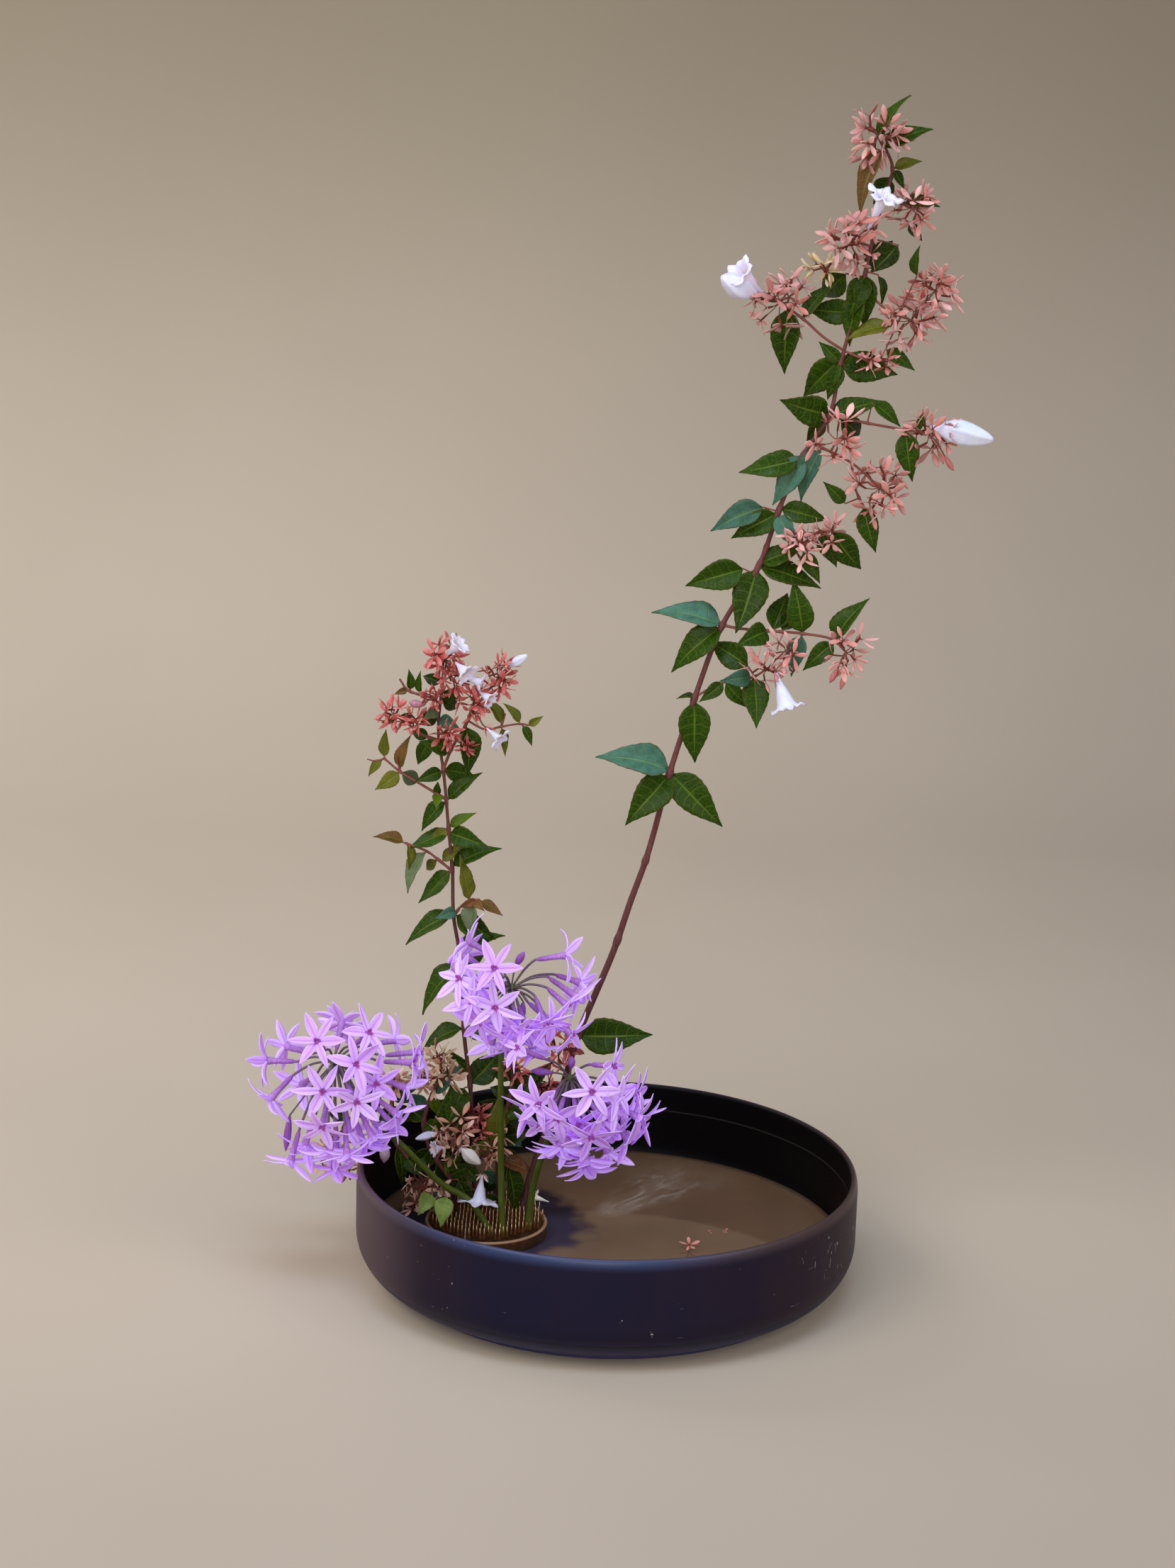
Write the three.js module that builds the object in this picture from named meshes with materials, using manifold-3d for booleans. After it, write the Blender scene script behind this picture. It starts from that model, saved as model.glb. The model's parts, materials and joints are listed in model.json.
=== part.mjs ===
// An ikebana arrangement: branches of glossy abelia and three umbels of society garlic, held
// by a pin holder in a low round bowl of dark glazed stoneware with a little water in it.
// Millimetres, +Z up. The origin is the centre of the bowl's foot, where it meets the table.

import * as THREE from "three";
import { mergeVertices } from "three/addons/utils/BufferGeometryUtils.js";
import Module from "manifold-3d";

const wasm = await Module();
wasm.setup();

// Driving dimensions of the bowl, the water and the pin holder.
const BOWL_RADIUS = 150;
const BOWL_HEIGHT = 70;
const WALL = 4.5;
const FOOT_RADIUS = 125;
const FOOT_HEIGHT = 4.4;
const SHOULDER_Z = 4;
const FLOOR_Z = 10;
const OUTER_CURVE = 27;
const INNER_CURVE = 22;
const WATER_Z = 25;
const BOWL_SIDES = 36;
const HOLDER = { x: -73, y: 34, radius: 37.5, top: 18, tip: 30, pitch: 10.4, pin: 1.2, margin: 2 };
const HOLDER_SIDES = 32;

// Running gap between pieces that touch, and the least gap that a placed piece keeps.
const GAP = 0.3;
const CLEAR = 0.25;

// Growth of the leaves: length for its width, how far it stands out of its shoot when seen short,
// arch as a share of its length, rise of its margins, and the width from which it is broad.
const LEAF_THICK = 0.7;
const LEAF_PROPORTION = 2;
const LEAF_SLENDERNESS = 2.3;
const LEAF_SINK = 0.5;
const LEAF_ARCH = 0.1;
const LEAF_FOLD = 0.22;
const BROAD_LEAF = 16;
const PETIOLE_FROM = 6;

// Twigs, calyx stars, and the umbels' hubs and florets. A joint gap parts wood from a hub.
const TWIG = 0.8;
const JOINT_GAP = 0.55;
const LARGEST_STAR = 12;
const UMBEL_HUB = 3.6;
const FLORET_RADIUS = 17;
const FLORET_TUBE = 19;

// Turns and sizes in which a calyx is tried until it has room.
const STAR_TURNS = [
  [0, 1], [0.3, 1], [-0.3, 1], [0.6, 1], [-0.6, 1], [0.9, 0.9], [-0.9, 0.9], [1.2, 0.8], [0, 0.75],
];

// The plants are read as they look from the eye, on an upright plane through the pin holder.
const EYE = new THREE.Vector3(-18.6, -1785.7, 754.4);
const PLANE_Y = 30;

const COLOURS = {
  glaze: [0x14121a, 0.3, 0],
  water: [0x4a3f33, 0.1, 0],
  brass: [0xa87b42, 0.4, 0.9],
  leaf: [0x24480f, 0.35, 0],
  sepal: [0xc9776b, 0.6, 0],
  tan: [0xb98a66, 0.6, 0],
  white: [0xefeaf6, 0.5, 0],
  lilac: [0xbf95ea, 0.5, 0],
  scape: [0x5c6b2c, 0.45, 0],
};

// A point seen at x, z on the upright plane, brought `toward` millimetres nearer to the eye.
function spot(x, z, toward = 0) {
  const onPlane = new THREE.Vector3(x, PLANE_Y, z);
  return onPlane.lerp(EYE, toward / (PLANE_Y - EYE.y));
}

function seeded(seed) {
  let state = seed * 2654435761 + 12345;
  return () => {
    state = (Math.imul(state ^ (state >>> 15), 2246822519) + 3266489917) | 0;
    return ((state ^ (state >>> 13)) >>> 0) / 4294967296;
  };
}

// A closed solid from points and triangles, turned so that its faces point out.
function solidFrom(points, triangles) {
  let volume = 0;
  for (const [a, b, c] of triangles) {
    volume += points[a].dot(new THREE.Vector3().crossVectors(points[b], points[c]));
  }
  const outward = volume < 0 ? triangles.map(([a, b, c]) => [a, c, b]) : triangles;
  const mesh = new wasm.Mesh({
    numProp: 3,
    vertProperties: new Float32Array(points.flatMap((p) => [p.x, p.y, p.z])),
    triVerts: new Uint32Array(outward.flat()),
  });
  return new wasm.Manifold(mesh);
}

function solidOf(geometry) {
  geometry.deleteAttribute("normal");
  geometry.deleteAttribute("uv");
  const merged = mergeVertices(geometry, 1e-4);
  const position = merged.getAttribute("position");
  const points = [];
  for (let i = 0; i < position.count; i++) {
    points.push(new THREE.Vector3().fromBufferAttribute(position, i));
  }
  const triangles = [];
  for (let i = 0; i < merged.index.count; i += 3) {
    const corner = [merged.index.getX(i), merged.index.getX(i + 1), merged.index.getX(i + 2)];
    if (new Set(corner).size === 3) triangles.push(corner);
  }
  return solidFrom(points, triangles);
}

// A named mesh of a solid in one of the colours.
function meshOf(name, solid, look) {
  const made = solid.getMesh();
  const geometry = new THREE.BufferGeometry();
  geometry.setAttribute("position", new THREE.BufferAttribute(made.vertProperties, 3));
  geometry.setIndex(new THREE.BufferAttribute(made.triVerts, 1));
  const [color, roughness, metalness] = COLOURS[look];
  const material = new THREE.MeshStandardMaterial({ color, roughness, metalness });
  const mesh = new THREE.Mesh(geometry, material);
  mesh.name = name;
  return mesh;
}

// What has been placed so far, piece by piece, so that later pieces can keep clear of it.
const placed = [];

function boxOf(solid) {
  const { min, max } = solid.boundingBox();
  return new THREE.Box3(new THREE.Vector3(...min), new THREE.Vector3(...max));
}

function place(owner, solid) {
  placed.push({ owner, solid, box: boxOf(solid) });
  return solid;
}

function clearOfOthers(solid, owner) {
  const box = boxOf(solid).expandByScalar(CLEAR);
  return placed.every((other) => {
    if (other.owner === owner || !box.intersectsBox(other.box)) return true;
    return solid.minGap(other.solid, 1) >= CLEAR;
  });
}

// Tries a piece with each bend in turn and places the first that is clear, or nothing.
function placeClear(owner, bends, make) {
  for (const bend of bends) {
    const solid = make(bend);
    if (clearOfOthers(solid, owner)) return place(owner, solid);
  }
  return null;
}

// Joins to `whole` the variant of a piece that is clear of other owners' pieces and crosses its
// own least, which shows in the number of faces. Earlier variants are liked better.
function joinBest(owner, whole, variants, make) {
  let best = null;
  variants.forEach((variant, index) => {
    const solid = make(variant);
    if (!clearOfOthers(solid, owner)) return;
    const joined = whole.add(solid);
    const cost = joined.numTri() + index;
    if (best && cost >= best.cost) return;
    if (joined.decompose().length === 1) best = { solid, joined, cost };
  });
  if (!best) return null;
  place(owner, best.solid);
  return best.joined;
}

// A closed skin over rings of points; a ring of one point is a tip.
function skin(rings) {
  const points = rings.flat();
  const starts = [0];
  for (const ring of rings) starts.push(starts.at(-1) + ring.length);
  const triangles = [];
  for (let i = 0; i + 1 < rings.length; i++) {
    const lower = rings[i].length;
    const upper = rings[i + 1].length;
    for (let k = 0; k < Math.max(lower, upper); k++) {
      const a = starts[i] + (k % lower);
      const b = starts[i] + ((k + 1) % lower);
      const c = starts[i + 1] + (k % upper);
      const d = starts[i + 1] + ((k + 1) % upper);
      if (lower > 1) triangles.push([a, b, upper > 1 ? d : c]);
      if (upper > 1) triangles.push([a, d, c]);
    }
  }
  const cap = (start, count, flip) => {
    for (let k = 1; k + 1 < count; k++) {
      triangles.push(flip ? [start, start + k + 1, start + k] : [start, start + k, start + k + 1]);
    }
  };
  cap(0, rings[0].length, true);
  cap(starts.at(-2), rings.at(-1).length, false);
  return solidFrom(points, triangles);
}

// A direction square to the given one.
function across(direction) {
  const steep = Math.abs(direction.y) >= 0.8;
  const guide = steep ? new THREE.Vector3(1, 0, 0) : new THREE.Vector3(0, 1, 0);
  return new THREE.Vector3().crossVectors(direction, guide).normalize();
}

// A tapering rod along a smooth curve through the points.
function rod(points, startRadius, endRadius, sides, stepsPerSpan = 1) {
  const curve = new THREE.CatmullRomCurve3(points, false, "centripetal");
  const steps = (points.length - 1) * stepsPerSpan;
  const rings = [];
  let side = across(curve.getTangent(0));
  for (let i = 0; i <= steps; i++) {
    const t = i / steps;
    const along = curve.getTangent(t);
    side = side.clone().addScaledVector(along, -side.dot(along)).normalize();
    const other = new THREE.Vector3().crossVectors(along, side);
    const radius = startRadius + (endRadius - startRadius) * t;
    const centre = curve.getPoint(t);
    const ring = [];
    for (let k = 0; k < sides; k++) {
      const turn = (2 * Math.PI * k) / sides;
      ring.push(
        centre.clone()
          .addScaledVector(side, radius * Math.cos(turn))
          .addScaledVector(other, radius * Math.sin(turn))
      );
    }
    rings.push(ring);
  }
  return skin(rings);
}

function knot(centre, radius) {
  return solidOf(new THREE.OctahedronGeometry(radius, 0).translate(centre.x, centre.y, centre.z));
}

// The bowl: flat foot, curved shoulder, upright wall with a rounded lip, and an even inside.
function bowlProfile() {
  const inner = BOWL_RADIUS - WALL;
  const outerTurn = [BOWL_RADIUS - OUTER_CURVE, SHOULDER_Z + OUTER_CURVE];
  const innerTurn = [inner - INNER_CURVE, FLOOR_Z + INNER_CURVE];
  const arc = ([r, z], radius, degrees) => {
    const turn = THREE.MathUtils.degToRad(degrees);
    return new THREE.Vector2(r + radius * Math.cos(turn), z + radius * Math.sin(turn));
  };
  return [
    new THREE.Vector2(0, 0),
    new THREE.Vector2(FOOT_RADIUS, 0),
    new THREE.Vector2(FOOT_RADIUS, FOOT_HEIGHT),
    ...[-78, -50, -25, 0].map((degrees) => arc(outerTurn, OUTER_CURVE, degrees)),
    new THREE.Vector2(BOWL_RADIUS, BOWL_HEIGHT - WALL / 2),
    new THREE.Vector2(BOWL_RADIUS - WALL / 2, BOWL_HEIGHT),
    new THREE.Vector2(inner, BOWL_HEIGHT - WALL / 2),
    ...[0, -40, -90].map((degrees) => arc(innerTurn, INNER_CURVE, degrees)),
    new THREE.Vector2(0, FLOOR_Z),
  ];
}

function turned(profile) {
  return solidOf(new THREE.LatheGeometry(profile, BOWL_SIDES).rotateX(Math.PI / 2));
}

// An upright drum about the pin holder's axis.
function holderDrum(radius, low, high) {
  const drum = new THREE.CylinderGeometry(radius, radius, high - low, HOLDER_SIDES);
  return solidOf(drum.rotateX(Math.PI / 2).translate(HOLDER.x, HOLDER.y, (low + high) / 2));
}

// The water: the inside of the bowl up to its level, with a plain round hole at the pin holder.
function waterSolid() {
  const lifted = (p) => new THREE.Vector2(Math.max(p.x - GAP, 0), p.y + GAP);
  const [above, below, ...rest] = bowlProfile().slice(-4).map(lifted);
  const share = (WATER_Z - below.y) / (above.y - below.y);
  const edge = below.clone().lerp(above, share);
  const profile = [new THREE.Vector2(0, WATER_Z), edge, below, ...rest];
  return turned(profile).subtract(holderDrum(HOLDER.radius + 2 * GAP, 0, BOWL_HEIGHT));
}

// Pins in staggered rows, left out where a stem stands.
function holderPins() {
  const pins = [];
  const rowPitch = HOLDER.pitch * Math.sin(Math.PI / 3);
  const rows = Math.floor(HOLDER.radius / rowPitch);
  const sunk = 1;
  const height = HOLDER.tip - HOLDER.top + sunk;
  for (let row = -rows; row <= rows; row++) {
    const shift = row % 2 ? HOLDER.pitch / 2 : 0;
    for (let x = -HOLDER.radius + shift; x < HOLDER.radius; x += HOLDER.pitch) {
      const y = row * rowPitch;
      if (Math.hypot(x, y) > HOLDER.radius - HOLDER.margin) continue;
      const pin = new THREE.ConeGeometry(HOLDER.pin, height, 3).rotateX(Math.PI / 2);
      const middle = HOLDER.top - sunk + height / 2;
      const solid = solidOf(pin.translate(HOLDER.x + x, HOLDER.y + y, middle));
      if (clearOfOthers(solid, "pin_holder")) pins.push(solid);
    }
  }
  return pins;
}

// Where a stem starts, a little below the top of the pin holder's base, on which it is cut off.
function foot(x, y) {
  return new THREE.Vector3(x, y, HOLDER.top - 2);
}

// The plants. A shoot is a list of [x, z, toward] after its start, with its two radii.
// A leaf is [base x, base z, tip x, tip z, seen width, 1 if it leans towards the eye or -1].
const TALL = {
  name: "tall_branch",
  foot: foot(-51, 46),
  shoots: [
    {
      radii: [2.5, 0.8],
      path: [
        [-49.8, 34.8, -16], [-42.7, 62, -15], [-26.6, 113.8, -12], [-21, 137, -10], [0, 194.5, -6],
        [9, 225, -5], [17, 250, -3], [22, 270, -2], [30, 306, 0], [43, 351.5, 2], [57.5, 395, 3],
        [77, 430, 4], [88, 465, 5], [99, 494, 6], [114, 519, 7], [119, 549, 8], [129, 592, 9],
        [137, 636, 10], [143, 659, 10], [134, 677, 18],
      ],
    },
    {
      radii: [0.9, 0.7],
      path: [
        [58.5, 394.5, 3], [67, 393, 6], [87, 392, 8], [104.7, 391, 8], [122, 388, 9], [130, 381, 12],
      ],
    },
    { radii: [0.8, 0.7], path: [[121, 556, 8], [108.5, 563.6, 9], [98.5, 572, 9], [83, 583, 8]] },
    { radii: [0.8, 0.7], path: [[129, 592, 9], [143, 581, 12], [158, 574.5, 14]] },
    { radii: [0.8, 0.7], path: [[114, 519, 7], [136.8, 515, 8], [150, 513, 8], [172, 510, 8]] },
    { radii: [0.8, 0.7], path: [[104, 503, 7], [128, 492, 10], [145, 478, 13]] },
    { radii: [0.7, 0.6], path: [[43, 351.5, 2], [60, 361, 6], [76, 364, 8], [84, 369, 12]] },
    { radii: [0.8, 0.6], path: [[84.4, 453.5, 5], [97, 450, 10], [108, 450.5, 13], [118, 452, 12]] },
    { radii: [0.8, 0.7], path: [[128, 492, 10], [131, 477, 9], [136, 467, 9]] },
  ],
  leaves: [
    [139, 675, 148, 700, 6, 1], [141.6, 672, 163, 682.5, 10, -1], [146, 658.5, 158.5, 663, 6, 1],
    [147, 660, 150, 649, 5, -1], [132.7, 667.5, 125.7, 633.6, 9, -1], [141, 655, 134, 640, 12, -1],
    [150, 640, 170, 640, 7, -1], [153.5, 630, 161, 620, 6, -1], [120, 600, 106.4, 586, 14, -1],
    [129, 600, 123, 575, 13, 1], [131, 603, 144, 618, 15, -1], [125.4, 578, 99, 579, 14, -1],
    [128, 590, 122, 560, 12, -1], [147, 571, 122.5, 563, 8, 1],
    [159.7, 599, 161, 615.6, 5, -1], [97, 575, 113, 594, 8, -1], [84, 575, 87.4, 542.6, 16, -1],
    [144, 558, 160.6, 546.6, 8, -1],
    [119, 549, 107, 560.5, 8, 1], [116.5, 553, 97.7, 529.6, 16, -1], [119, 549, 112.5, 529, 10, 1],
    [119, 549, 150.4, 544, 17, -1],
    [114, 519, 85.4, 526.6, 17, 1], [114, 519, 143, 527.7, 12, -1], [138, 527, 155, 515, 8, 1],
    [120, 517, 133, 508, 12, -1], [113, 517, 102, 505, 9, -1],
    [166.6, 514, 168.6, 523, 4, -1], [157.8, 510, 163, 483, 13, -1],
    [94.6, 494.5, 64.7, 484, 14, 1], [101, 496, 84.7, 466.7, 14, -1], [108, 495, 99, 470, 12, 1],
    [126, 468, 113.5, 480, 8, -1], [137, 466, 143.7, 441, 12, -1],
    [79, 465, 48.6, 451.7, 14, -1], [86, 462, 61.5, 446, 14, 1], [89, 464, 115.4, 458, 12, -1],
    [87, 461, 97, 443, 11, 1], [118, 452, 135.7, 430.4, 15, -1],
    [69, 428.6, 36, 417, 17, -1], [76, 429, 66, 391, 20, 1], [80, 431, 103, 442, 11, -1],
    [102, 440, 112.6, 422, 9, -1], [80, 429, 112.7, 418.4, 13, 1],
    [87, 394, 94, 415, 14, -1], [104.7, 392, 98, 422, 15, 1], [53, 396, 18, 404, 13, -1],
    [56, 394, 29, 367, 16, 1], [74, 370, 52, 384.6, 15, -1], [84, 391, 67, 384, 13, 1],
    [104, 388, 98, 366, 11, -1], [76, 364, 59, 362, 10, 1], [125.5, 390, 139.6, 413, 11, -1],
    [124, 387.5, 106, 370, 11, 1],
    [45, 349, 45, 312, 18, 1], [60, 361, 46.4, 349, 8, -1],
    [60, 361, 74, 346, 9, -1], [79, 362, 80, 334.5, 15, 1],
    [25.7, 307.5, -13, 314, 17, -1], [28.5, 304, 6, 273, 20, 1], [31.5, 304.6, 61, 273.4, 19, 1],
    [-19, 140, 24, 141, 21, 1],
  ],
};

const MIDDLE = {
  name: "middle_branch",
  foot: foot(-80, 40),
  shoots: [
    {
      radii: [1.7, 0.8],
      path: [
        [-80.5, 40, -10], [-83.8, 100.8, -6], [-89, 142.5, -4], [-91, 182.8, -3], [-96.3, 213, 0],
        [-97.5, 240.7, 0], [-100, 265, 2], [-104, 303, 2], [-107, 321, 2], [-107.3, 334, 3],
        [-105.5, 352, 5], [-105, 371, 10],
      ],
    },
    { radii: [1, 0.8], path: [[-104, 303, 2], [-99.5, 315.5, 4], [-91.5, 330, 8], [-87, 343.5, 15]] },
    { radii: [0.8, 0.7], path: [[-91.5, 330, 8], [-83, 345, 4], [-72, 360, 7]] },
    {
      radii: [0.9, 0.6],
      path: [[-101.3, 284.5, 2], [-116.4, 293.3, 2], [-129, 300.6, 2], [-139, 308.8, 1]],
    },
    { radii: [0.9, 0.7], path: [[-107.3, 321, 2], [-115, 323, 3], [-122.5, 328, 4], [-134, 336, 4]] },
    { radii: [0.8, 0.6], path: [[-106.5, 343, 4], [-114, 347, 5], [-121, 348.5, 4], [-126, 350.5, 3]] },
    { radii: [0.8, 0.6], path: [[-97.6, 241, 0], [-106.4, 248, 1], [-112.6, 252.5, 2], [-126, 257.5, 3]] },
    { radii: [0.8, 0.6], path: [[-96.2, 213, 0], [-92.6, 218.5, 3], [-87.5, 223, 6], [-81, 223.5, 8]] },
    {
      radii: [0.7, 0.5],
      path: [[-90, 333, 9], [-79.5, 328, 10], [-70.5, 330, 10], [-59, 332, 9], [-54, 331.3, 9]],
    },
  ],
  leaves: [
    [-106.5, 355, -116, 359, 7, -1], [-105, 350.4, -93.6, 345.5, 8, -1],
    [-104.5, 346.4, -96, 340.3, 8, -1],
    [-70.5, 331.6, -79, 347.5, 6, 1], [-59, 332.5, -68.5, 343.5, 5, -1],
    [-53.5, 331.3, -45.8, 337.4, 4.5, 1],
    [-58.3, 330.4, -52.8, 319.7, 5, -1], [-70, 329, -68, 313.4, 5, -1],
    [-89, 329, -88, 300.3, 12, 1], [-104, 303, -87, 300.2, 11, -1], [-106, 302, -119.5, 296, 8, 1],
    [-99.5, 315.5, -117, 319, 10, 1], [-112, 322, -119, 306.5, 9, -1], [-112, 322, -122.5, 325.5, 7, -1],
    [-107, 334.5, -95, 327.5, 8, 1], [-108, 340, -115.5, 334, 7, 1], [-107, 338, -118, 330, 9, -1],
    [-129, 301, -118, 294.5, 9, -1], [-129, 301, -143.2, 290, 9, 1], [-129, 302.5, -125, 322, 6.5, 1],
    [-138.5, 310, -138, 325.4, 6, -1], [-130, 337, -121, 332, 7, -1],
    [-100, 285, -82, 301, 8.5, -1], [-102.3, 284, -117, 266.5, 9, -1],
    [-100, 264.5, -78.5, 258, 12, 1], [-97.5, 268, -85, 276.5, 6, -1], [-102, 265, -123, 254, 9, -1],
    [-103.4, 267.5, -112, 256, 7, 1],
    [-103.8, 247, -91, 257.8, 6.5, 1], [-96, 244, -70.8, 256.8, 10, -1],
    [-87.3, 226.4, -93.8, 249.8, 8, 1], [-98.7, 241, -116, 221, 9.5, 1],
    [-126, 257.6, -143.5, 262, 6.5, -1], [-124.7, 256.5, -122.5, 241.5, 5, 1],
    [-114, 251.5, -123.8, 227.8, 8, 1],
    [-81, 223.6, -68, 214.7, 6, 1], [-84.8, 222, -85.2, 198.6, 9, 1],
    [-95, 213.6, -71.3, 199.8, 13, -1], [-98, 214.5, -124, 195.6, 10, -1],
    [-95, 217, -106.5, 212, 7, 1],
    [-90, 194, -66.5, 201.5, 9, -1], [-91, 184, -78, 189, 9, -1], [-91, 183, -113.5, 152, 10, 1],
    [-89, 143, -113, 128.5, 9, -1], [-88, 143, -68, 138, 10, -1], [-84.6, 107, -67, 127, 16, -1],
  ],
};

const LOW_LEFT = {
  name: "low_sprig_left",
  foot: foot(-99, 26),
  shoots: [
    { radii: [1.3, 1], path: [[-112, 44, 4], [-128, 67, 4], [-143, 84, 2], [-158, 82, 0], [-164, 67, 0]] },
    { radii: [0.8, 0.6], path: [[-128, 67, 4], [-131, 90, 2], [-131, 108, 0]] },
  ],
  leaves: [
    [-129, 66, -125, 41, 9, 1], [-130, 96, -112, 110, 9, -1], [-131, 90, -140, 80, 8, 1],
    [-143, 84, -150, 112, 9, -1], [-131, 100, -118, 95, 8, 1], [-158, 82, -172, 90, 8, -1],
  ],
};

const LOW_FRONT = {
  name: "low_sprig_front",
  foot: foot(-91, 35),
  shoots: [
    { radii: [1.5, 1], path: [[-95, 45, -1], [-104, 58, 1], [-112, 78, 2], [-108, 98, 2], [-101, 112, 8]] },
    { radii: [0.8, 0.7], path: [[-104, 58, 1], [-98, 69, 5], [-92.3, 79.4, 15]] },
    { radii: [0.8, 0.7], path: [[-95, 45, -1], [-103, 41.5, 6], [-112, 41, 12]] },
  ],
  leaves: [
    [-98, 70, -95, 106, 18, -1], [-107, 100, -91, 118.5, 9, 1], [-111, 101, -102, 86, 7, 1],
    [-111, 82, -122, 92, 10, -1], [-110, 82, -101, 75, 8, 1], [-101, 72, -84, 76, 9, -1],
    [-104, 56, -122, 60, 10, -1], [-95, 45, -99, 62, 7, 1], [-104, 40, -114, 26, 8, 1],
    [-98, 42, -99, 17, 11, 1, 32], [-100, 41, -107, 26, 6, -1], [-90.5, 35.5, -86, 54, 8, -1],
    [-96, 48, -80, 56, 8, 1],
  ],
};

const LOW_BACK = {
  name: "low_sprig_back",
  foot: foot(-66, 50),
  shoots: [
    {
      radii: [1.5, 1],
      path: [[-66.5, 45, -19], [-66, 62, -16], [-64, 80, -14], [-60, 100, -10], [-58, 118, -4]],
    },
    { radii: [0.8, 0.7], path: [[-60, 100, -10], [-50, 106, -13], [-38.5, 108, -13]] },
    { radii: [0.8, 0.7], path: [[-64, 80, -14], [-72, 85, -11], [-80, 86.5, -6]] },
    { radii: [0.8, 0.7], path: [[-66, 62, -16], [-68, 70, -2]] },
  ],
  leaves: [
    [-69, 69, -67, 98, 12, -1], [-68, 68, -86, 64, 8, 1], [-66, 70, -47, 76, 8, -1],
    [-66, 60, -45, 50, 9, 1], [-65, 40, -59, 58, 8, 1], [-67, 40, -77, 52, 8, 1],
    [-60, 101, -43, 114, 10, -1], [-62, 92, -50, 86, 9, 1], [-60, 100, -72, 106, 8, -1],
    [-50, 106, -36, 122, 9, -1], [-58, 108, -60, 128, 9, -1], [-64, 80, -53, 68, 9, -1],
  ],
};

// A spray is one node of calyx bunches: [x, z, toward, radius] each, the first on a twig's end.
const SPRAYS = [
  ["tall_bunch_low", TALL, "sepal", [[-32, 132, -12, 12]]],
  ["tall_bunch_top", TALL, "sepal", [[134, 677, 18, 15]]],
  ["tall_bunch_upper_right", TALL, "sepal", [[155, 638, 16, 13]]],
  ["tall_bunch_upper", TALL, "sepal", [[121, 618, 20, 16], [107, 601.5, 18, 8]]],
  ["tall_bunch_left", TALL, "sepal", [[83, 583, 8, 17]]],
  ["tall_bunch_right", TALL, "sepal", [[158, 574.5, 14, 15], [171, 592, 12, 13]]],
  ["tall_stars", TALL, "sepal", [[135, 550.5, 16, 6], [144, 551, 15, 6]]],
  ["tall_bunch_middle", TALL, "sepal", [[119, 505, 20, 13]]],
  ["tall_bunch_far_right", TALL, "sepal", [[172, 510, 8, 13]]],
  ["tall_bunch_hanging", TALL, "sepal", [[145, 478, 13, 16]]],
  ["tall_bunch_lower", TALL, "sepal", [[101, 443, 16, 11], [115, 450, 16, 10]]],
  ["tall_bunch_twig", TALL, "sepal", [[84, 369, 12, 11], [95, 381, 16, 9]]],
  ["tall_bunch_twig_end", TALL, "sepal", [[130, 381, 12, 13]]],
  ["middle_bunch_top", MIDDLE, "sepal", [[-105, 371, 10, 11], [-100, 358, 14, 8]]],
  ["middle_bunch_right", MIDDLE, "sepal", [[-72, 360, 7, 10]]],
  ["middle_bunch_centre", MIDDLE, "sepal", [[-87, 343.5, 15, 10]]],
  ["middle_bunch_inner", MIDDLE, "sepal", [[-111, 346, 12, 7]]],
  ["middle_bunch_left", MIDDLE, "sepal", [[-134, 336, 4, 9], [-121.5, 332, 9, 7]]],
  ["middle_stars", MIDDLE, "sepal", [[-102, 325, 14, 7], [-91, 317, 14, 5]]],
  ["low_bunch_high", LOW_FRONT, "tan", [[-101, 112, 8, 11], [-103, 124, 4, 8], [-114, 110, 8, 7]]],
  ["low_bunch_middle", LOW_FRONT, "tan", [[-92.3, 79.4, 15, 10], [-94, 67.5, 17, 10], [-104, 73, 12, 6]]],
  ["low_bunch_front", LOW_FRONT, "tan", [[-112, 41, 12, 10], [-104, 37, 14, 7], [-118, 29, 18, 7]]],
  ["low_bunch_behind", LOW_BACK, "tan", [[-80, 86.5, -6, 7], [-78, 76, -1, 5]]],
  ["low_bunch_scape", LOW_BACK, "tan", [[-68, 70, -2, 9], [-73, 62, 5, 8]]],
  ["low_bunch_right", LOW_BACK, "tan", [[-38.5, 108, -13, 7]]],
  ["low_bunch_upper", LOW_BACK, "tan", [[-58, 118, -4, 8]]],
  ["low_bunch_left", LOW_LEFT, "tan", [[-131, 108, 0, 9]]],
  ["low_bunch_over_rim", LOW_LEFT, "tan", [[-164, 67, 0, 10], [-159, 51, 2, 7], [-173, 56, 1, 7]]],
];

// White flowers: name, spray it grows from, [base x, z], [mouth x, z], toward, radius of its lobes.
const FLOWERS = [
  ["tall_flower_upper", "tall_bunch_upper", [131, 625], [139, 644.5], 26, 9],
  ["tall_flower_left", "tall_bunch_left", [74.5, 586], [56, 598], 12, 10],
  ["tall_flower_right", "tall_bunch_far_right", [176, 511], [202, 517], 9, 8],
  ["tall_flower_lower", "tall_bunch_twig", [90, 367], [97, 346], 20, 9],
  ["middle_flower_top", "middle_bunch_top", [-103, 374], [-97, 382], 16, 9],
  ["middle_flower_inner", "middle_bunch_top", [-98, 368], [-90, 362.5], 20, 7],
  ["middle_flower_centre", "middle_bunch_centre", [-85, 350], [-77, 346], 17, 6],
  ["middle_flower_right", "middle_bunch_right", [-66, 366], [-57, 373], 9, 6],
  ["middle_flower_low", "middle_bunch_centre", [-80, 328], [-70, 322], 20, 7],
  ["low_flower_left", "low_bunch_middle", [-103, 75], [-116, 72], 18, 6],
  ["low_flower_small", "low_bunch_middle", [-99, 66], [-106, 64], 22, 6],
  ["low_flower_wilted", "low_bunch_middle", [-89, 64.5], [-81, 55.5], 24, 4],
  ["low_flower_hanging", "low_bunch_scape", [-76, 50], [-77, 33], 6, 9],
];

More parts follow.
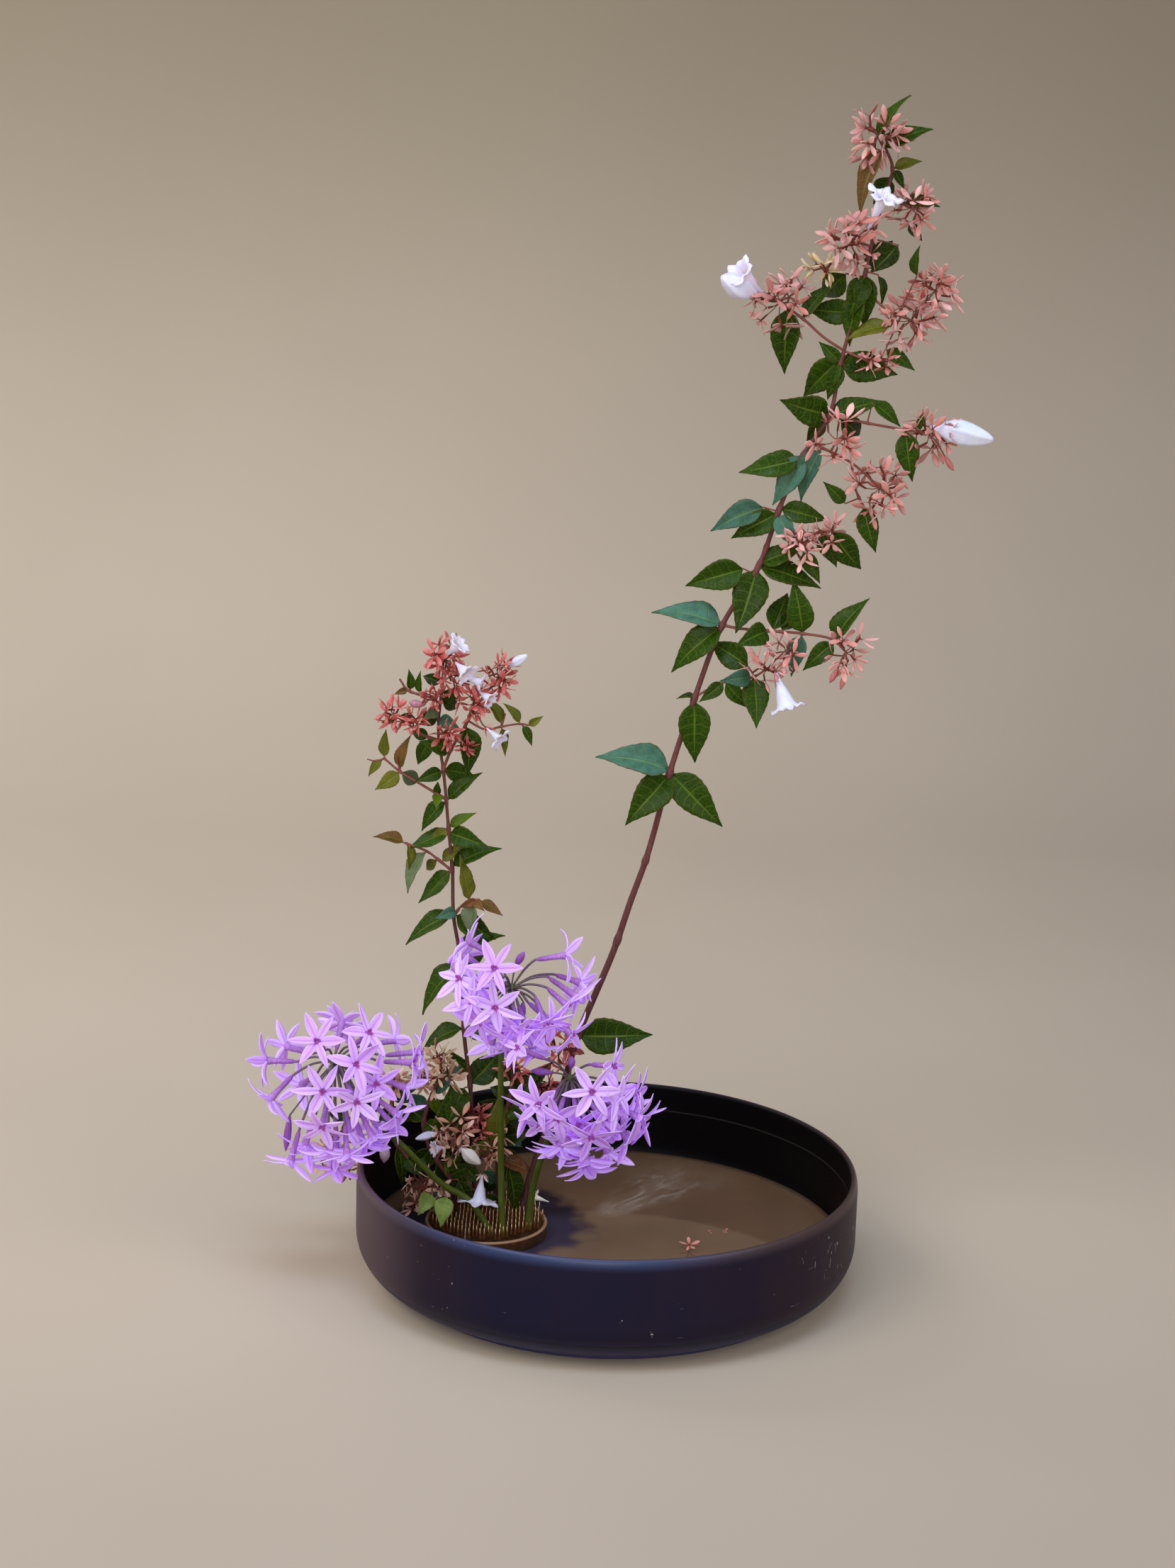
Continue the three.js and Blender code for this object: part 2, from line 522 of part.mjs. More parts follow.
// Closed buds in the colour of their spray: spray, [base x, z], [tip x, z], toward, radius.
const BUDS = [
  ["tall_bunch_far_right", [181, 498], [187, 489], 8, 2],
  ["tall_bunch_twig_end", [126, 371], [121.5, 362], 13, 1.8],
  ["tall_bunch_twig_end", [131, 370], [128, 358], 15, 1.8],
  ["middle_bunch_inner", [-116, 341.5], [-125, 343], 14, 2.4],
  ["low_bunch_left", [-135, 68], [-136, 55], 12, 3.4],
];

// Umbels of society garlic: hub and scape as seen, florets as [x, z, toward] of the mouth,
// then [x, z, toward] of the tube's foot where the floret doesn't point straight from the hub.
const UMBELS = [
  {
    name: "left",
    foot: foot(-69, 14),
    scape: [[-83.5, 32, 18], [-100.5, 42.5, 25], [-125.5, 67.2, 36], [-142, 83, 42], [-166.8, 119.4, 50]],
    hub: [-166.8, 119.4, 50],
    florets: [
      [[-177.2, 131.6, 90]], [[-153.8, 117.8, 96]], [[-153.2, 94, 94]], [[-173.6, 100.2, 90]],
      [[-205, 94.7, 62], [-192.5, 108.7, 60]], [[-207, 118.5, 50], [-190.8, 118.5, 50]],
      [[-192.8, 54.8, 62], [-188, 73.5, 62]], [[-173.7, 77.5, 86]],
      [[-169, 62, 62], [-170, 78, 62]], [[-158.5, 59.8, 78], [-160, 78, 74]],
      [[-143.5, 72, 70], [-150, 86, 68]], [[-129, 87, 68], [-143, 98, 64]],
      [[-120, 120, 56], [-137, 120, 54]], [[-130.5, 134, 28], [-146, 130, 34]], [[-162.5, 144, 32]],
    ],
    buds: [[[-196, 60.5, 50], [-193.5, 84, 52]]],
  },
  {
    name: "middle",
    foot: foot(-62.5, 14),
    scape: [[-64, 40, 18], [-65, 70, 22], [-65.8, 101, 27], [-65.5, 135, 33], [-60.8, 168.9, 40]],
    hub: [-60.8, 168.9, 40],
    florets: [
      [[-71.1, 180.9, 80]], [[-70.1, 156.6, 80]], [[-80, 169.9, 66]],
      [[-93, 174, 46], [-77, 176, 44]], [[-85.9, 197, 30], [-73.8, 190, 34]],
      [[-84.6, 152, 52], [-73, 160, 46]], [[-57.5, 143.7, 74], [-59, 157, 62]],
      [[-39.6, 147, 68], [-46, 163, 58]], [[-24, 141, 62], [-37, 150, 56]],
      [[-27.2, 159.3, 50], [-38.5, 169, 46]], [[-22, 165, 34], [-38, 176, 36]],
      [[-20.3, 174, 22], [-34, 178, 28]], [[-29.2, 190.5, 36], [-45.3, 187.5, 38]],
    ],
    buds: [[[-53.5, 192, 44], [-58.8, 182.8, 42]], [[-54.6, 148.4, 46], [-53.4, 160.6, 44]]],
  },
  {
    name: "right",
    foot: foot(-47, 21),
    scape: [[-44.5, 43, 20], [-38.3, 67, 34], [-31, 90, 46], [-23.9, 112.6, 60]],
    hub: [-23.9, 112.6, 60],
    florets: [
      [[-10.7, 104.8, 102]], [[1.9, 121.5, 76], [-11, 122, 70]], [[4, 97, 88]],
      [[16.4, 103.9, 70], [4, 108, 68]], [[17.4, 89.4, 78]], [[-10.4, 75.8, 94]],
      [[-12.8, 60.9, 76], [-13.5, 76, 74]], [[-30.9, 87.1, 94]],
      [[-48.8, 92.3, 70], [-34.7, 98.6, 68]], [[-22, 75.8, 82], [-21, 90, 76]],
      [[-28, 69.2, 62], [-26, 86, 62]], [[3, 78, 72]], [[-55.6, 131, 80], [-40, 125, 72]],
    ],
    buds: [[[-23.2, 127, 60], [-23.6, 119, 60]], [[-48, 117, 50], [-34.3, 116.1, 54]]],
  },
];

// A society garlic floret: a thin stalk from the hub, a slim tube and six pointed petals that
// spread from its mouth, all one closed skin.
function floret(hub, tubeFoot, mouth, radius, turn) {
  const along = mouth.clone().sub(tubeFoot).normalize();
  const side = across(along);
  const step = Math.PI / 3;
  const ringPoint = (centre, axis, angle, reach) => {
    const flat = side.clone().applyAxisAngle(along, angle + turn);
    flat.addScaledVector(axis, -flat.dot(axis)).normalize();
    return centre.clone().addScaledVector(flat, reach);
  };
  const at = (angle, reach, ahead) =>
    ringPoint(mouth, along, angle, reach).addScaledVector(along, ahead);
  const stalk = tubeFoot.clone().sub(hub).normalize();
  const points = [mouth.clone().addScaledVector(along, -0.3)];
  for (let k = 0; k < 3; k++) points.push(at(step * (2 * k - 0.5), 2.4, -2.4));
  for (let k = 0; k < 3; k++) points.push(ringPoint(tubeFoot, along, step * (2 * k - 0.5), 0.9));
  for (let k = 0; k < 3; k++) points.push(ringPoint(hub, stalk, step * (2 * k - 0.5), 0.8));
  const rimStart = points.length;
  for (let k = 0; k < 6; k++) {
    points.push(at(step * (k - 0.5), radius * 0.3, 0.8));
    points.push(at(step * k, radius, -0.4));
  }
  const triangles = [];
  const rim = (i) => rimStart + (i % 12);
  const neck = (k) => 1 + (k % 3);
  const foot = (k) => 4 + (k % 3);
  const root = (k) => 7 + (k % 3);
  for (let k = 0; k < 12; k++) triangles.push([0, rim(k), rim(k + 1)]);
  for (let k = 0; k < 3; k++) {
    triangles.push([neck(k), rim(4 * k + 1), rim(4 * k)]);
    triangles.push([neck(k), rim(4 * k + 2), rim(4 * k + 1)]);
    triangles.push([neck(k), neck(k + 1), rim(4 * k + 2)]);
    triangles.push([neck(k + 1), rim(4 * k + 3), rim(4 * k + 2)]);
    triangles.push([neck(k + 1), rim(4 * k + 4), rim(4 * k + 3)]);
    triangles.push([foot(k), neck(k + 1), neck(k)]);
    triangles.push([foot(k), foot(k + 1), neck(k + 1)]);
    triangles.push([root(k), foot(k + 1), foot(k)]);
    triangles.push([root(k), root(k + 1), foot(k + 1)]);
  }
  triangles.push([root(0), root(2), root(1)]);
  return solidFrom(points, triangles);
}

// An abelia flower: a funnel that opens into five blunt lobes, as one closed skin.
function funnel(base, mouth, radius) {
  const axis = mouth.clone().sub(base);
  const length = axis.length();
  const along = axis.normalize();
  const side = across(along);
  const other = new THREE.Vector3().crossVectors(along, side);
  const at = (angle, reach, ahead) =>
    mouth.clone()
      .addScaledVector(side, Math.cos(angle) * reach)
      .addScaledVector(other, Math.sin(angle) * reach)
      .addScaledVector(along, ahead);
  const ring = (reach, ahead) =>
    Array.from({ length: 5 }, (_, k) => at((k * 2 * Math.PI) / 5, reach, ahead));
  const points = [at(0, 0, -0.35 * length), ...ring(radius * 0.5, -0.22 * length), base];
  const rimStart = points.length;
  for (let k = 0; k < 5; k++) {
    const middle = ((k + 0.5) * 2 * Math.PI) / 5;
    points.push(at((k * 2 * Math.PI) / 5, radius * 0.62, 0.2));
    points.push(at(middle - 0.28, radius, 0.4));
    points.push(at(middle + 0.28, radius, 0.4));
  }
  const rimAt = (i) => rimStart + (i % 15);
  const triangles = [];
  for (let i = 0; i < 15; i++) triangles.push([0, rimAt(i), rimAt(i + 1)]);
  for (let k = 0; k < 5; k++) {
    const neck = 1 + k;
    const nextNeck = 1 + ((k + 1) % 5);
    triangles.push([neck, rimAt(3 * k + 1), rimAt(3 * k)]);
    triangles.push([neck, nextNeck, rimAt(3 * k + 1)]);
    triangles.push([nextNeck, rimAt(3 * k + 2), rimAt(3 * k + 1)]);
    triangles.push([nextNeck, rimAt(3 * k + 3), rimAt(3 * k + 2)]);
    triangles.push([6, nextNeck, neck]);
  }
  return solidFrom(points, triangles);
}

// A pointed bud from its foot to its tip.
function bud(base, tip, radius) {
  const middle = base.clone().lerp(tip, 0.65);
  const along = tip.clone().sub(base).normalize();
  const side = across(along);
  const other = new THREE.Vector3().crossVectors(along, side);
  const ring = (centre, reach) =>
    Array.from({ length: 5 }, (_, k) => {
      const angle = (k * 2 * Math.PI) / 5;
      return centre.clone()
        .addScaledVector(side, Math.cos(angle) * reach)
        .addScaledVector(other, Math.sin(angle) * reach);
    });
  return skin([ring(base, radius * 0.45), ring(middle, radius), [tip]]);
}

// A calyx: four or five pointed sepals that spread from a short foot like a star.
function calyx(base, centre, radius, turn, sepals) {
  const along = centre.clone().sub(base).normalize();
  const side = across(along);
  const points = [centre.clone().addScaledVector(along, -0.4), base];
  const corners = 2 * sepals;
  for (let k = 0; k < corners; k++) {
    const tip = k % 2 === 1;
    const flat = side.clone().applyAxisAngle(along, (k * Math.PI) / sepals + turn);
    const edge = centre.clone().addScaledVector(flat, tip ? radius : radius * 0.36);
    points.push(edge.addScaledVector(along, tip ? radius * (k % 4 === 1 ? 0.3 : 0.05) : 0));
  }
  const triangles = [];
  for (let k = 0; k < corners; k++) {
    const next = 2 + ((k + 1) % corners);
    triangles.push([0, 2 + k, next], [1, next, 2 + k]);
  }
  return solidFrom(points, triangles);
}

// A leaf: an arched blade folded along its midrib, with a toothed edge on the larger ones.
function leaf(base, tip, seenWidth, bendAway) {
  const aim = tip.clone().add(bendAway);
  const along = aim.clone().sub(base).normalize();
  const root = base.clone().addScaledVector(along, -LEAF_SINK);
  const length = aim.distanceTo(root);
  const width = Math.max(seenWidth, length / LEAF_SLENDERNESS);
  const { side, face } = bladeAxes(root, along, Math.acos(Math.min(1, seenWidth / width)));
  const pointAt = (t, reach) => {
    const arch = t === 0 ? -LEAF_THICK / 2 : 4 * LEAF_ARCH * length * t * (1 - t);
    return root.clone()
      .addScaledVector(along, length * t)
      .addScaledVector(side, reach)
      .addScaledVector(face, arch + LEAF_FOLD * Math.abs(reach));
  };
  const corners = width >= BROAD_LEAF ? 3 : 2;
  const edge = [0, ...Array.from({ length: corners }, (_, k) => (k + 0.75) / (corners + 0.4)), 1];
  const ribs = [0, 0.5, 1];
  const points = ribs.map((t) => pointAt(t, 0));
  const margins = [1, -1].map((sign) => {
    const start = points.length;
    for (let k = 1; k <= corners; k++) {
      const reach = 0.5 * width * leafOutline(edge[k]);
      points.push(pointAt(edge[k] + 0.02 * sign, sign * reach));
    }
    return Array.from({ length: corners }, (_, k) => start + k);
  });
  const last = ribs.length - 1;
  const upper = margins.flatMap((margin, index) => {
    const half = zipped(ribs, edge, [0, ...margin, last]);
    return index ? half.map(([a, b, c]) => [a, c, b]) : half;
  });
  const below = points.map((p) => p.clone().addScaledVector(face, -LEAF_THICK));
  const shared = (i) => i === 0 || i === last;
  const under = (i) => (shared(i) ? i : i + points.length);
  const lower = upper.map(([a, b, c]) => [under(a), under(c), under(b)]);
  const loop = [0, ...margins[0], last, ...margins[1].reverse()];
  const sides = loop.flatMap((a, k) => {
    const b = loop[(k + 1) % loop.length];
    if (shared(b)) return [[a, under(a), b]];
    if (shared(a)) return [[a, under(b), b]];
    return [[a, under(b), b], [a, under(a), under(b)]];
  });
  return solidFrom([...points, ...below], [...upper, ...lower, ...sides]);
}

// Across and up directions of a blade, rolled either way from the eye, whichever faces up more.
function bladeAxes(root, along, roll) {
  const view = EYE.clone().sub(root).normalize();
  const side = new THREE.Vector3().crossVectors(along, view).normalize();
  const face = new THREE.Vector3().crossVectors(side, along);
  const heightAt = (angle) => face.clone().applyAxisAngle(along, angle).z;
  const angle = heightAt(roll) >= heightAt(-roll) ? roll : -roll;
  return { side: side.applyAxisAngle(along, angle), face: face.applyAxisAngle(along, angle) };
}

// Half width of a leaf, as a share of its widest, from its base at 0 to its tip at 1.
function leafOutline(t) {
  return Math.pow(Math.sin(Math.PI * Math.pow(t, 0.72)), 0.9);
}

// Triangles between the midrib, whose points are 0, 1, 2, and a margin of the same blade.
function zipped(ribs, edge, margin) {
  const triangles = [];
  let i = 0;
  let j = 0;
  while (i + 1 < margin.length || j + 1 < ribs.length) {
    const onMargin = (edge[i + 1] ?? Infinity) <= (ribs[j + 1] ?? Infinity);
    const third = onMargin ? margin[i + 1] : j + 1;
    const corner = [j, margin[i], third];
    if (new Set(corner).size === 3) triangles.push(corner);
    if (onMargin) i++;
    else j++;
  }
  return triangles;
}

// Depths by which a piece may be bent away from the eye, to try in turn.
function bendsOf(...amounts) {
  return amounts.map((amount) => new THREE.Vector3(0, -amount, 0));
}

// The nearest place on a branch's shoots to a seen point, as seen x and z with its depth.
function nearestOn(plan, x, z, inset = 1) {
  const cores = spraysOf(plan).flatMap((spray) => spray.cores);
  let best = { distance: Infinity };
  for (const { path } of plan.shoots) {
    for (let i = 0; i + 1 < path.length; i++) {
      const [ax, az, at] = path[i];
      const [bx, bz, bt] = path[i + 1];
      const span = (bx - ax) ** 2 + (bz - az) ** 2;
      const core = cores.find(({ centre }) => centre.distanceTo(spot(bx, bz, bt)) < 1);
      const short = inset * (core ? core.radius + 2 : 1);
      const last = i + 2 === path.length ? Math.max(0, 1 - short / Math.sqrt(span)) : 1;
      const t = THREE.MathUtils.clamp(((x - ax) * (bx - ax) + (z - az) * (bz - az)) / span, 0, last);
      const seen = [ax + (bx - ax) * t, az + (bz - az) * t];
      const distance = Math.hypot(x - seen[0], z - seen[1]);
      if (distance < best.distance) {
        best = { distance, toward: at + (bt - at) * t, point: spot(...seen, at + (bt - at) * t) };
      }
    }
  }
  return best;
}

// Wood of a branch: its shoots, and a stalk to each of its sprays that stops short of the core.
function wood(plan, sprays) {
  const parts = plan.shoots.map(({ radii, path }, index) => {
    const points = path.map((place) => spot(...place));
    if (index === 0) points.unshift(plan.foot);
    return rod(points, ...radii, index ? 3 : 6);
  });
  for (const { cores } of sprays) {
    const near = nearestOn(plan, ...cores[0].seen, 0).point;
    const { centre, radius } = cores[0];
    if (near.distanceTo(centre) > radius) parts.push(rod([near, centre], TWIG, TWIG, 3));
  }
  let solid = wasm.Manifold.union(parts);
  for (const { cores } of sprays) {
    for (const { centre, radius } of cores) solid = solid.subtract(knot(centre, radius + JOINT_GAP));
  }
  return largestBody(solid.trimByPlane([0, 0, 1], HOLDER.top + GAP));
}

function largestBody(solid) {
  return solid.decompose().sort((a, b) => b.volume() - a.volume())[0];
}

function spraysOf(plan) {
  return sprays.filter((spray) => spray.plan === plan);
}

// Joins a leaf to its branch, with a petiole where its blade is seen to start off the shoot.
function addLeaf(plan, whole, [bx, bz, tx, tz, width, way, ahead = 0]) {
  const near = nearestOn(plan, bx, bz);
  const attached = near.distance < PETIOLE_FROM;
  const base = attached ? near.point : spot(bx, bz, near.toward);
  const seen = Math.hypot(tx - bx, tz - bz);
  const deep = Math.sqrt(Math.max(0, (LEAF_PROPORTION * width) ** 2 - seen ** 2));
  const tip = spot(tx, tz, near.toward + way * deep + ahead);
  const bends = bendsOf(0, 4, -4, 8, -8, 12, -12, 17, -17, 23, -23, 30, -30, 38, -38);
  let stalk = whole;
  if (!attached) {
    const petiole = place(plan.name, rod([near.point, base.clone().lerp(tip, 0.1)], 0.55, 0.5, 3));
    stalk = whole.add(petiole);
  }
  return joinBest(plan.name, stalk, bends, (bend) => leaf(base, tip, width, bend)) ?? whole;
}

// Calyxes of one bunch, spread round its core and left out where there is no room.
function addCalyxes(spray, whole, { centre, reach, radius }, random) {
  const count = reach >= 14 ? 3 : reach >= 9 ? 2 : 1;
  const sepals = reach >= 12 ? 5 : 4;
  const roll = 2 * Math.PI * random();
  const fullStar = Math.min(LARGEST_STAR, reach * (count > 1 ? 0.8 : 0.95));
  for (let k = 0; k < count; k++) {
    const grown = joinBest(spray.name, whole, STAR_TURNS, ([turn, shrink]) => {
      const tilt = k === 0 ? 0.3 + turn : 1.85;
      const spread = ((k - 1) * 2 * Math.PI) / Math.max(2, count - 1);
      const angle = roll + spread + (k ? turn : 0);
      const level = Math.sin(tilt);
      const aim = new THREE.Vector3(
        level * Math.cos(angle),
        -Math.cos(tilt),
        level * Math.sin(angle) + 0.15
      ).normalize();
      const foot = centre.clone().addScaledVector(aim, radius * 0.3);
      const middle = centre.clone().addScaledVector(aim, radius + reach * 0.28);
      return calyx(foot, middle, fullStar * shrink, 6 * random(), sepals);
    });
    whole = grown ?? whole;
  }
  return whole;
}

// An umbel on the top of its scape: hub, thin stalks, buds and open florets.
function umbel(plan) {
  const name = `umbel_${plan.name}`;
  const hub = spot(...plan.hub);
  const depths = [0, 5, -5, 10, -10, 15, -15, 20, -20];
  const spotAt = ([x, z, toward], depth) => spot(x, z, toward + depth);
  let whole = place(name, knot(hub, UMBEL_HUB));
  const join = (make) => {
    whole = joinBest(name, whole, depths, make) ?? whole;
  };
  plan.florets.forEach(([mouth, tubeFoot], index) => {
    join((depth) => {
      const open = spotAt(mouth, depth);
      const straight = Math.max(0.3, 1 - FLORET_TUBE / open.distanceTo(hub));
      const start = tubeFoot ? spotAt(tubeFoot, depth) : hub.clone().lerp(open, straight);
      return floret(hub, start, open, FLORET_RADIUS, index * 0.7);
    });
  });
  for (const [tip, base] of plan.buds) {
    join((depth) => {
      const start = spotAt(base, depth);
      const end = spotAt(tip, depth);
      const stalk = rod([hub, start.clone().lerp(end, 0.2)], 0.8, 0.7, 3);
      return bud(start, end, 2.2).add(stalk);
    });
  }
  return whole;
}

// The bare stem of an umbel, cut off flat on the pin holder and hollowed for the umbel's hub.
function scape(plan) {
  const points = [plan.foot, ...plan.scape.map((at) => spot(...at))];
  const socket = knot(spot(...plan.hub), UMBEL_HUB + JOINT_GAP);
  return rod(points, 2.2, 1.5, 6, 2).subtract(socket).trimByPlane([0, 0, 1], HOLDER.top + GAP);
}

const nodes = [];
function keep(name, solid, look) {
  nodes.push(meshOf(name, solid, look));
}

// Bowl, water and holder first, since everything else keeps clear of them.
const bowl = place("bowl", turned(bowlProfile()));
const water = place("water", waterSolid());
const base = place("pin_holder", holderDrum(HOLDER.radius, FLOOR_Z + GAP, HOLDER.top));
keep("bowl", bowl, "glaze");
keep("water", water, "water");

// The three scapes and umbels stand in front of the branches.
for (const plan of UMBELS) {
  const name = `scape_${plan.name}`;
  keep(name, place(name, scape(plan)), "scape");
}
for (const plan of UMBELS) keep(`umbel_${plan.name}`, umbel(plan), "lilac");

const sprays = SPRAYS.map(([name, plan, look, bunches]) => ({
  name,
  plan,
  look,
  grown: [],
  cores: bunches.map(([x, z, toward, reach]) => ({
    seen: [x, z],
    centre: spot(x, z, toward),
    reach,
    radius: Math.max(1.8, 0.2 * reach),
  })),
}));

// The wood of each branch, then the cores of its sprays and the links between them.
const branches = [TALL, MIDDLE, LOW_LEFT, LOW_FRONT, LOW_BACK];
const woods = branches.map((plan) => place(plan.name, wood(plan, spraysOf(plan))));
for (const spray of sprays) growCores(spray);

function growCores(spray) {
  for (const { centre, radius } of spray.cores) {
    spray.grown.push(place(spray.name, knot(centre, radius)));
  }
  const swings = [[0, 0], [5, 0], [-5, 0], [0, 5], [0, -5], [8, 8], [-8, 8], [8, -8], [-8, -8]];
  const first = spray.cores[0].centre;
  for (const { centre } of spray.cores.slice(1)) {
    const link = placeClear(spray.name, swings, ([swing, rise]) => {
      const middle = first.clone().lerp(centre, 0.5).add(new THREE.Vector3(0, swing, rise));
      return rod([first, middle, centre], 0.7, 0.7, 4);
    });
    spray.grown.push(link);
  }
}

// A stalk of a spray that comes up behind a flower or bud along its own axis.
function growStalk(spray, base, tip, gap) {
  const distance = ({ centre }) => centre.distanceTo(base);
  const nearest = spray.cores.reduce((a, b) => (distance(a) < distance(b) ? a : b));
  const along = tip.clone().sub(base).normalize();
  const end = base.clone().addScaledVector(along, -gap);
  const swings = bendsOf(0, 5, -5, 10, -10, 16).flatMap((swing) => [[swing, 3], [swing, 6]]);
  const stalk = placeClear(spray.name, swings, ([swing, back]) => {
    const behind = end.clone().addScaledVector(along, -back);
    const middle = nearest.centre.clone().lerp(behind, 0.5).add(swing);
    return rod([nearest.centre, middle, behind, end], 0.8, 0.6, 3);
  });
  spray.grown.push(stalk);
}

// White flowers, each just off its stalk, and the closed buds.
const sprayNamed = (name) => sprays.find((spray) => spray.name === name);
for (const [name, sprayName, [bx, bz], [mx, mz], toward, radius] of FLOWERS) {
  const endsAt = (depth) => [spot(bx, bz, toward + depth / 2), spot(mx, mz, toward + depth)];
  const depths = [0, 4, -4, 8, -8, 14];
  const depth = depths.find((one) => clearOfOthers(funnel(...endsAt(one), radius), name));
  const solid = place(name, funnel(...endsAt(depth), radius));
  growStalk(sprayNamed(sprayName), ...endsAt(depth), 0.5);
  keep(name, solid, "white");
}
for (const [sprayName, [bx, bz], [tx, tz], toward, radius] of BUDS) {
  const [start, end] = [spot(bx, bz, toward), spot(tx, tz, toward)];
  const spray = sprayNamed(sprayName);
  growStalk(spray, start, end, -1.5);
  spray.grown.push(place(sprayName, bud(start, end, radius)));
}

branches.forEach((plan, index) => {
  const whole = plan.leaves.reduce((grown, row) => addLeaf(plan, grown, row), woods[index]);
  keep(plan.name, whole, "leaf");
});

sprays.forEach((spray, index) => {
  const random = seeded(index + 1);
  const start = wasm.Manifold.union(spray.grown);
  const whole = spray.cores.reduce((grown, core) => addCalyxes(spray, grown, core, random), start);
  keep(spray.name, whole, spray.look);
});

// A flower and a calyx that have dropped lie on the water.
const lifts = Array.from({ length: 20 }, (_, k) => 0.2 * k);
const dropped = placeClear("fallen_flower", lifts, (lift) => {
  const rise = new THREE.Vector3(0, 0, WATER_Z + lift);
  const start = new THREE.Vector3(-47, 50, 2).add(rise);
  return funnel(start, new THREE.Vector3(-36, 48, 5).add(rise), 6.5);
});
keep("fallen_flower", dropped, "white");
const calyxFoot = new THREE.Vector3(50, -19.5, WATER_Z + GAP);
const calyxHeart = calyxFoot.clone().add(new THREE.Vector3(0.5, -0.5, 3));
keep("fallen_calyx", place("fallen_calyx", calyx(calyxFoot, calyxHeart, 7, 0, 5)), "sepal");

keep("pin_holder", wasm.Manifold.union([base, ...holderPins()]), "brass");

const part = new THREE.Group();
part.name = "ikebana_arrangement";
part.add(...nodes);

export default part;
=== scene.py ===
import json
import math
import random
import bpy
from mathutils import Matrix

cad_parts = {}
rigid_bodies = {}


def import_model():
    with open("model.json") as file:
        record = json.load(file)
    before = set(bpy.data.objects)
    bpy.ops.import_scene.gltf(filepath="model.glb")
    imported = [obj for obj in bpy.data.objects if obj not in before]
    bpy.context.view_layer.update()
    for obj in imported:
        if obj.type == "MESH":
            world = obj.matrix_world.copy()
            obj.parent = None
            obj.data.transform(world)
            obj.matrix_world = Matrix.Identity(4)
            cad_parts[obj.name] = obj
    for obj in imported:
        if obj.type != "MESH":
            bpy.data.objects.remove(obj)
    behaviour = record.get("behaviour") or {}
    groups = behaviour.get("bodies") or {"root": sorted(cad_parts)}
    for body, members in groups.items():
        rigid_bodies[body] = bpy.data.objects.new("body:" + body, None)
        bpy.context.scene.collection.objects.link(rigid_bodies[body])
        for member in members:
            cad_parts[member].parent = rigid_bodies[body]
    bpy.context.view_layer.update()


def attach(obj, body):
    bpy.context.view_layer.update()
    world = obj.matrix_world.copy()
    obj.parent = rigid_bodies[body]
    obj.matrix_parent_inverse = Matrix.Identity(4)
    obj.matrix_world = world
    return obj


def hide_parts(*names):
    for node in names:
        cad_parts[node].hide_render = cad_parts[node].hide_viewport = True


bl_info = {
    "name": "Ikebana arrangement",
    "version": (1, 0, 0),
    "blender": (4, 5, 0),
    "location": "View3D > Sidebar > Ikebana",
    "description": "Abelia branches and society garlic on a pin holder in a low stoneware bowl",
    "category": "Object",
}

import bmesh
import bpy
import numpy as np
from mathutils import Matrix, Quaternion, Vector

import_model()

MM = 0.001

# The camera stands where the plants' places were read from: on an upright plane at PLANE_Y.
EYE = Vector((-18.6, -1785.7, 754.4)) * MM
EYE_PITCH = 0.2469
EYE_ROLL = 0.0291
LENS = 72.75
PLANE_Y = 30 * MM

# Pin holder: centre and radius of its base, and its top, in millimetres.
HOLDER_X = -73
HOLDER_Y = 34
HOLDER_RADIUS = 37.5
HOLDER_TOP = 18

# Pins, in metres, and the most that one leans, in radians.
PIN_PITCH = 0.0046
PIN_HEIGHT = 0.0086
PIN_RADIUS = 0.0009
PIN_LEAN = 0.035

# Bowl, in millimetres: its inner floor, its foot, and the rounds of its shoulder and lip.
FLOOR_Z = 10
FOOT_RADIUS = 125
FOOT_HEIGHT = 4
SHOULDER = 27
INNER_ROUND = 22
LIP_ROUND = 8

# Height of the water, in metres.
WATER_LEVEL = 0.025

# Leaf joints swell the wood by this share, and this far, in millimetres.
JOINT_SWELLING = 0.45
JOINT_REACH = 1.7

# Leaves: length to width where one leans towards the eye or away, and the slenderest leaf. In
# millimetres: how near to a shoot a leaf's foot sits right on it, its stalk, and from what length
# it has one.
LEAF_PROPORTION = 2
LEAF_SLENDERNESS = 2.3
PETIOLE_FROM = 6
LEAF_STALK = 1.2
SMALL_LEAF = 12

# Umbels: reach of a tepal and length of a tube, in metres, and the umbel's radius in millimetres.
FLORET_REACH = 18 * MM
FLORET_TUBE = 19 * MM
UMBEL_RADIUS = 40

# Stage, in metres: half its width and its height, how far behind the object the backdrop stands,
# and the round between floor and backdrop.
STAGE_HALF = 4
STAGE_BACK = 1.9
STAGE_BEND = 0.9
WARM = (1, 0.96, 0.92)
COOL = (0.55, 0.72, 1)

# Each copy round a centre turns on by this, in radians, so that no two stand in line.
GOLDEN_TURN = math.pi * (3 - math.sqrt(5))

# Random draws are seeded by these and by the number of the spray or umbel.
SPRAY_SEED = 100
UMBEL_SEED = 200


def shade(red, green, blue):
    """Scene-linear colour of 8-bit screen values."""
    values = (value / 255 for value in (red, green, blue))
    return tuple(
        value / 12.92 if value < 0.04 else ((value + 0.055) / 1.055) ** 2.4
        for value in values
    )


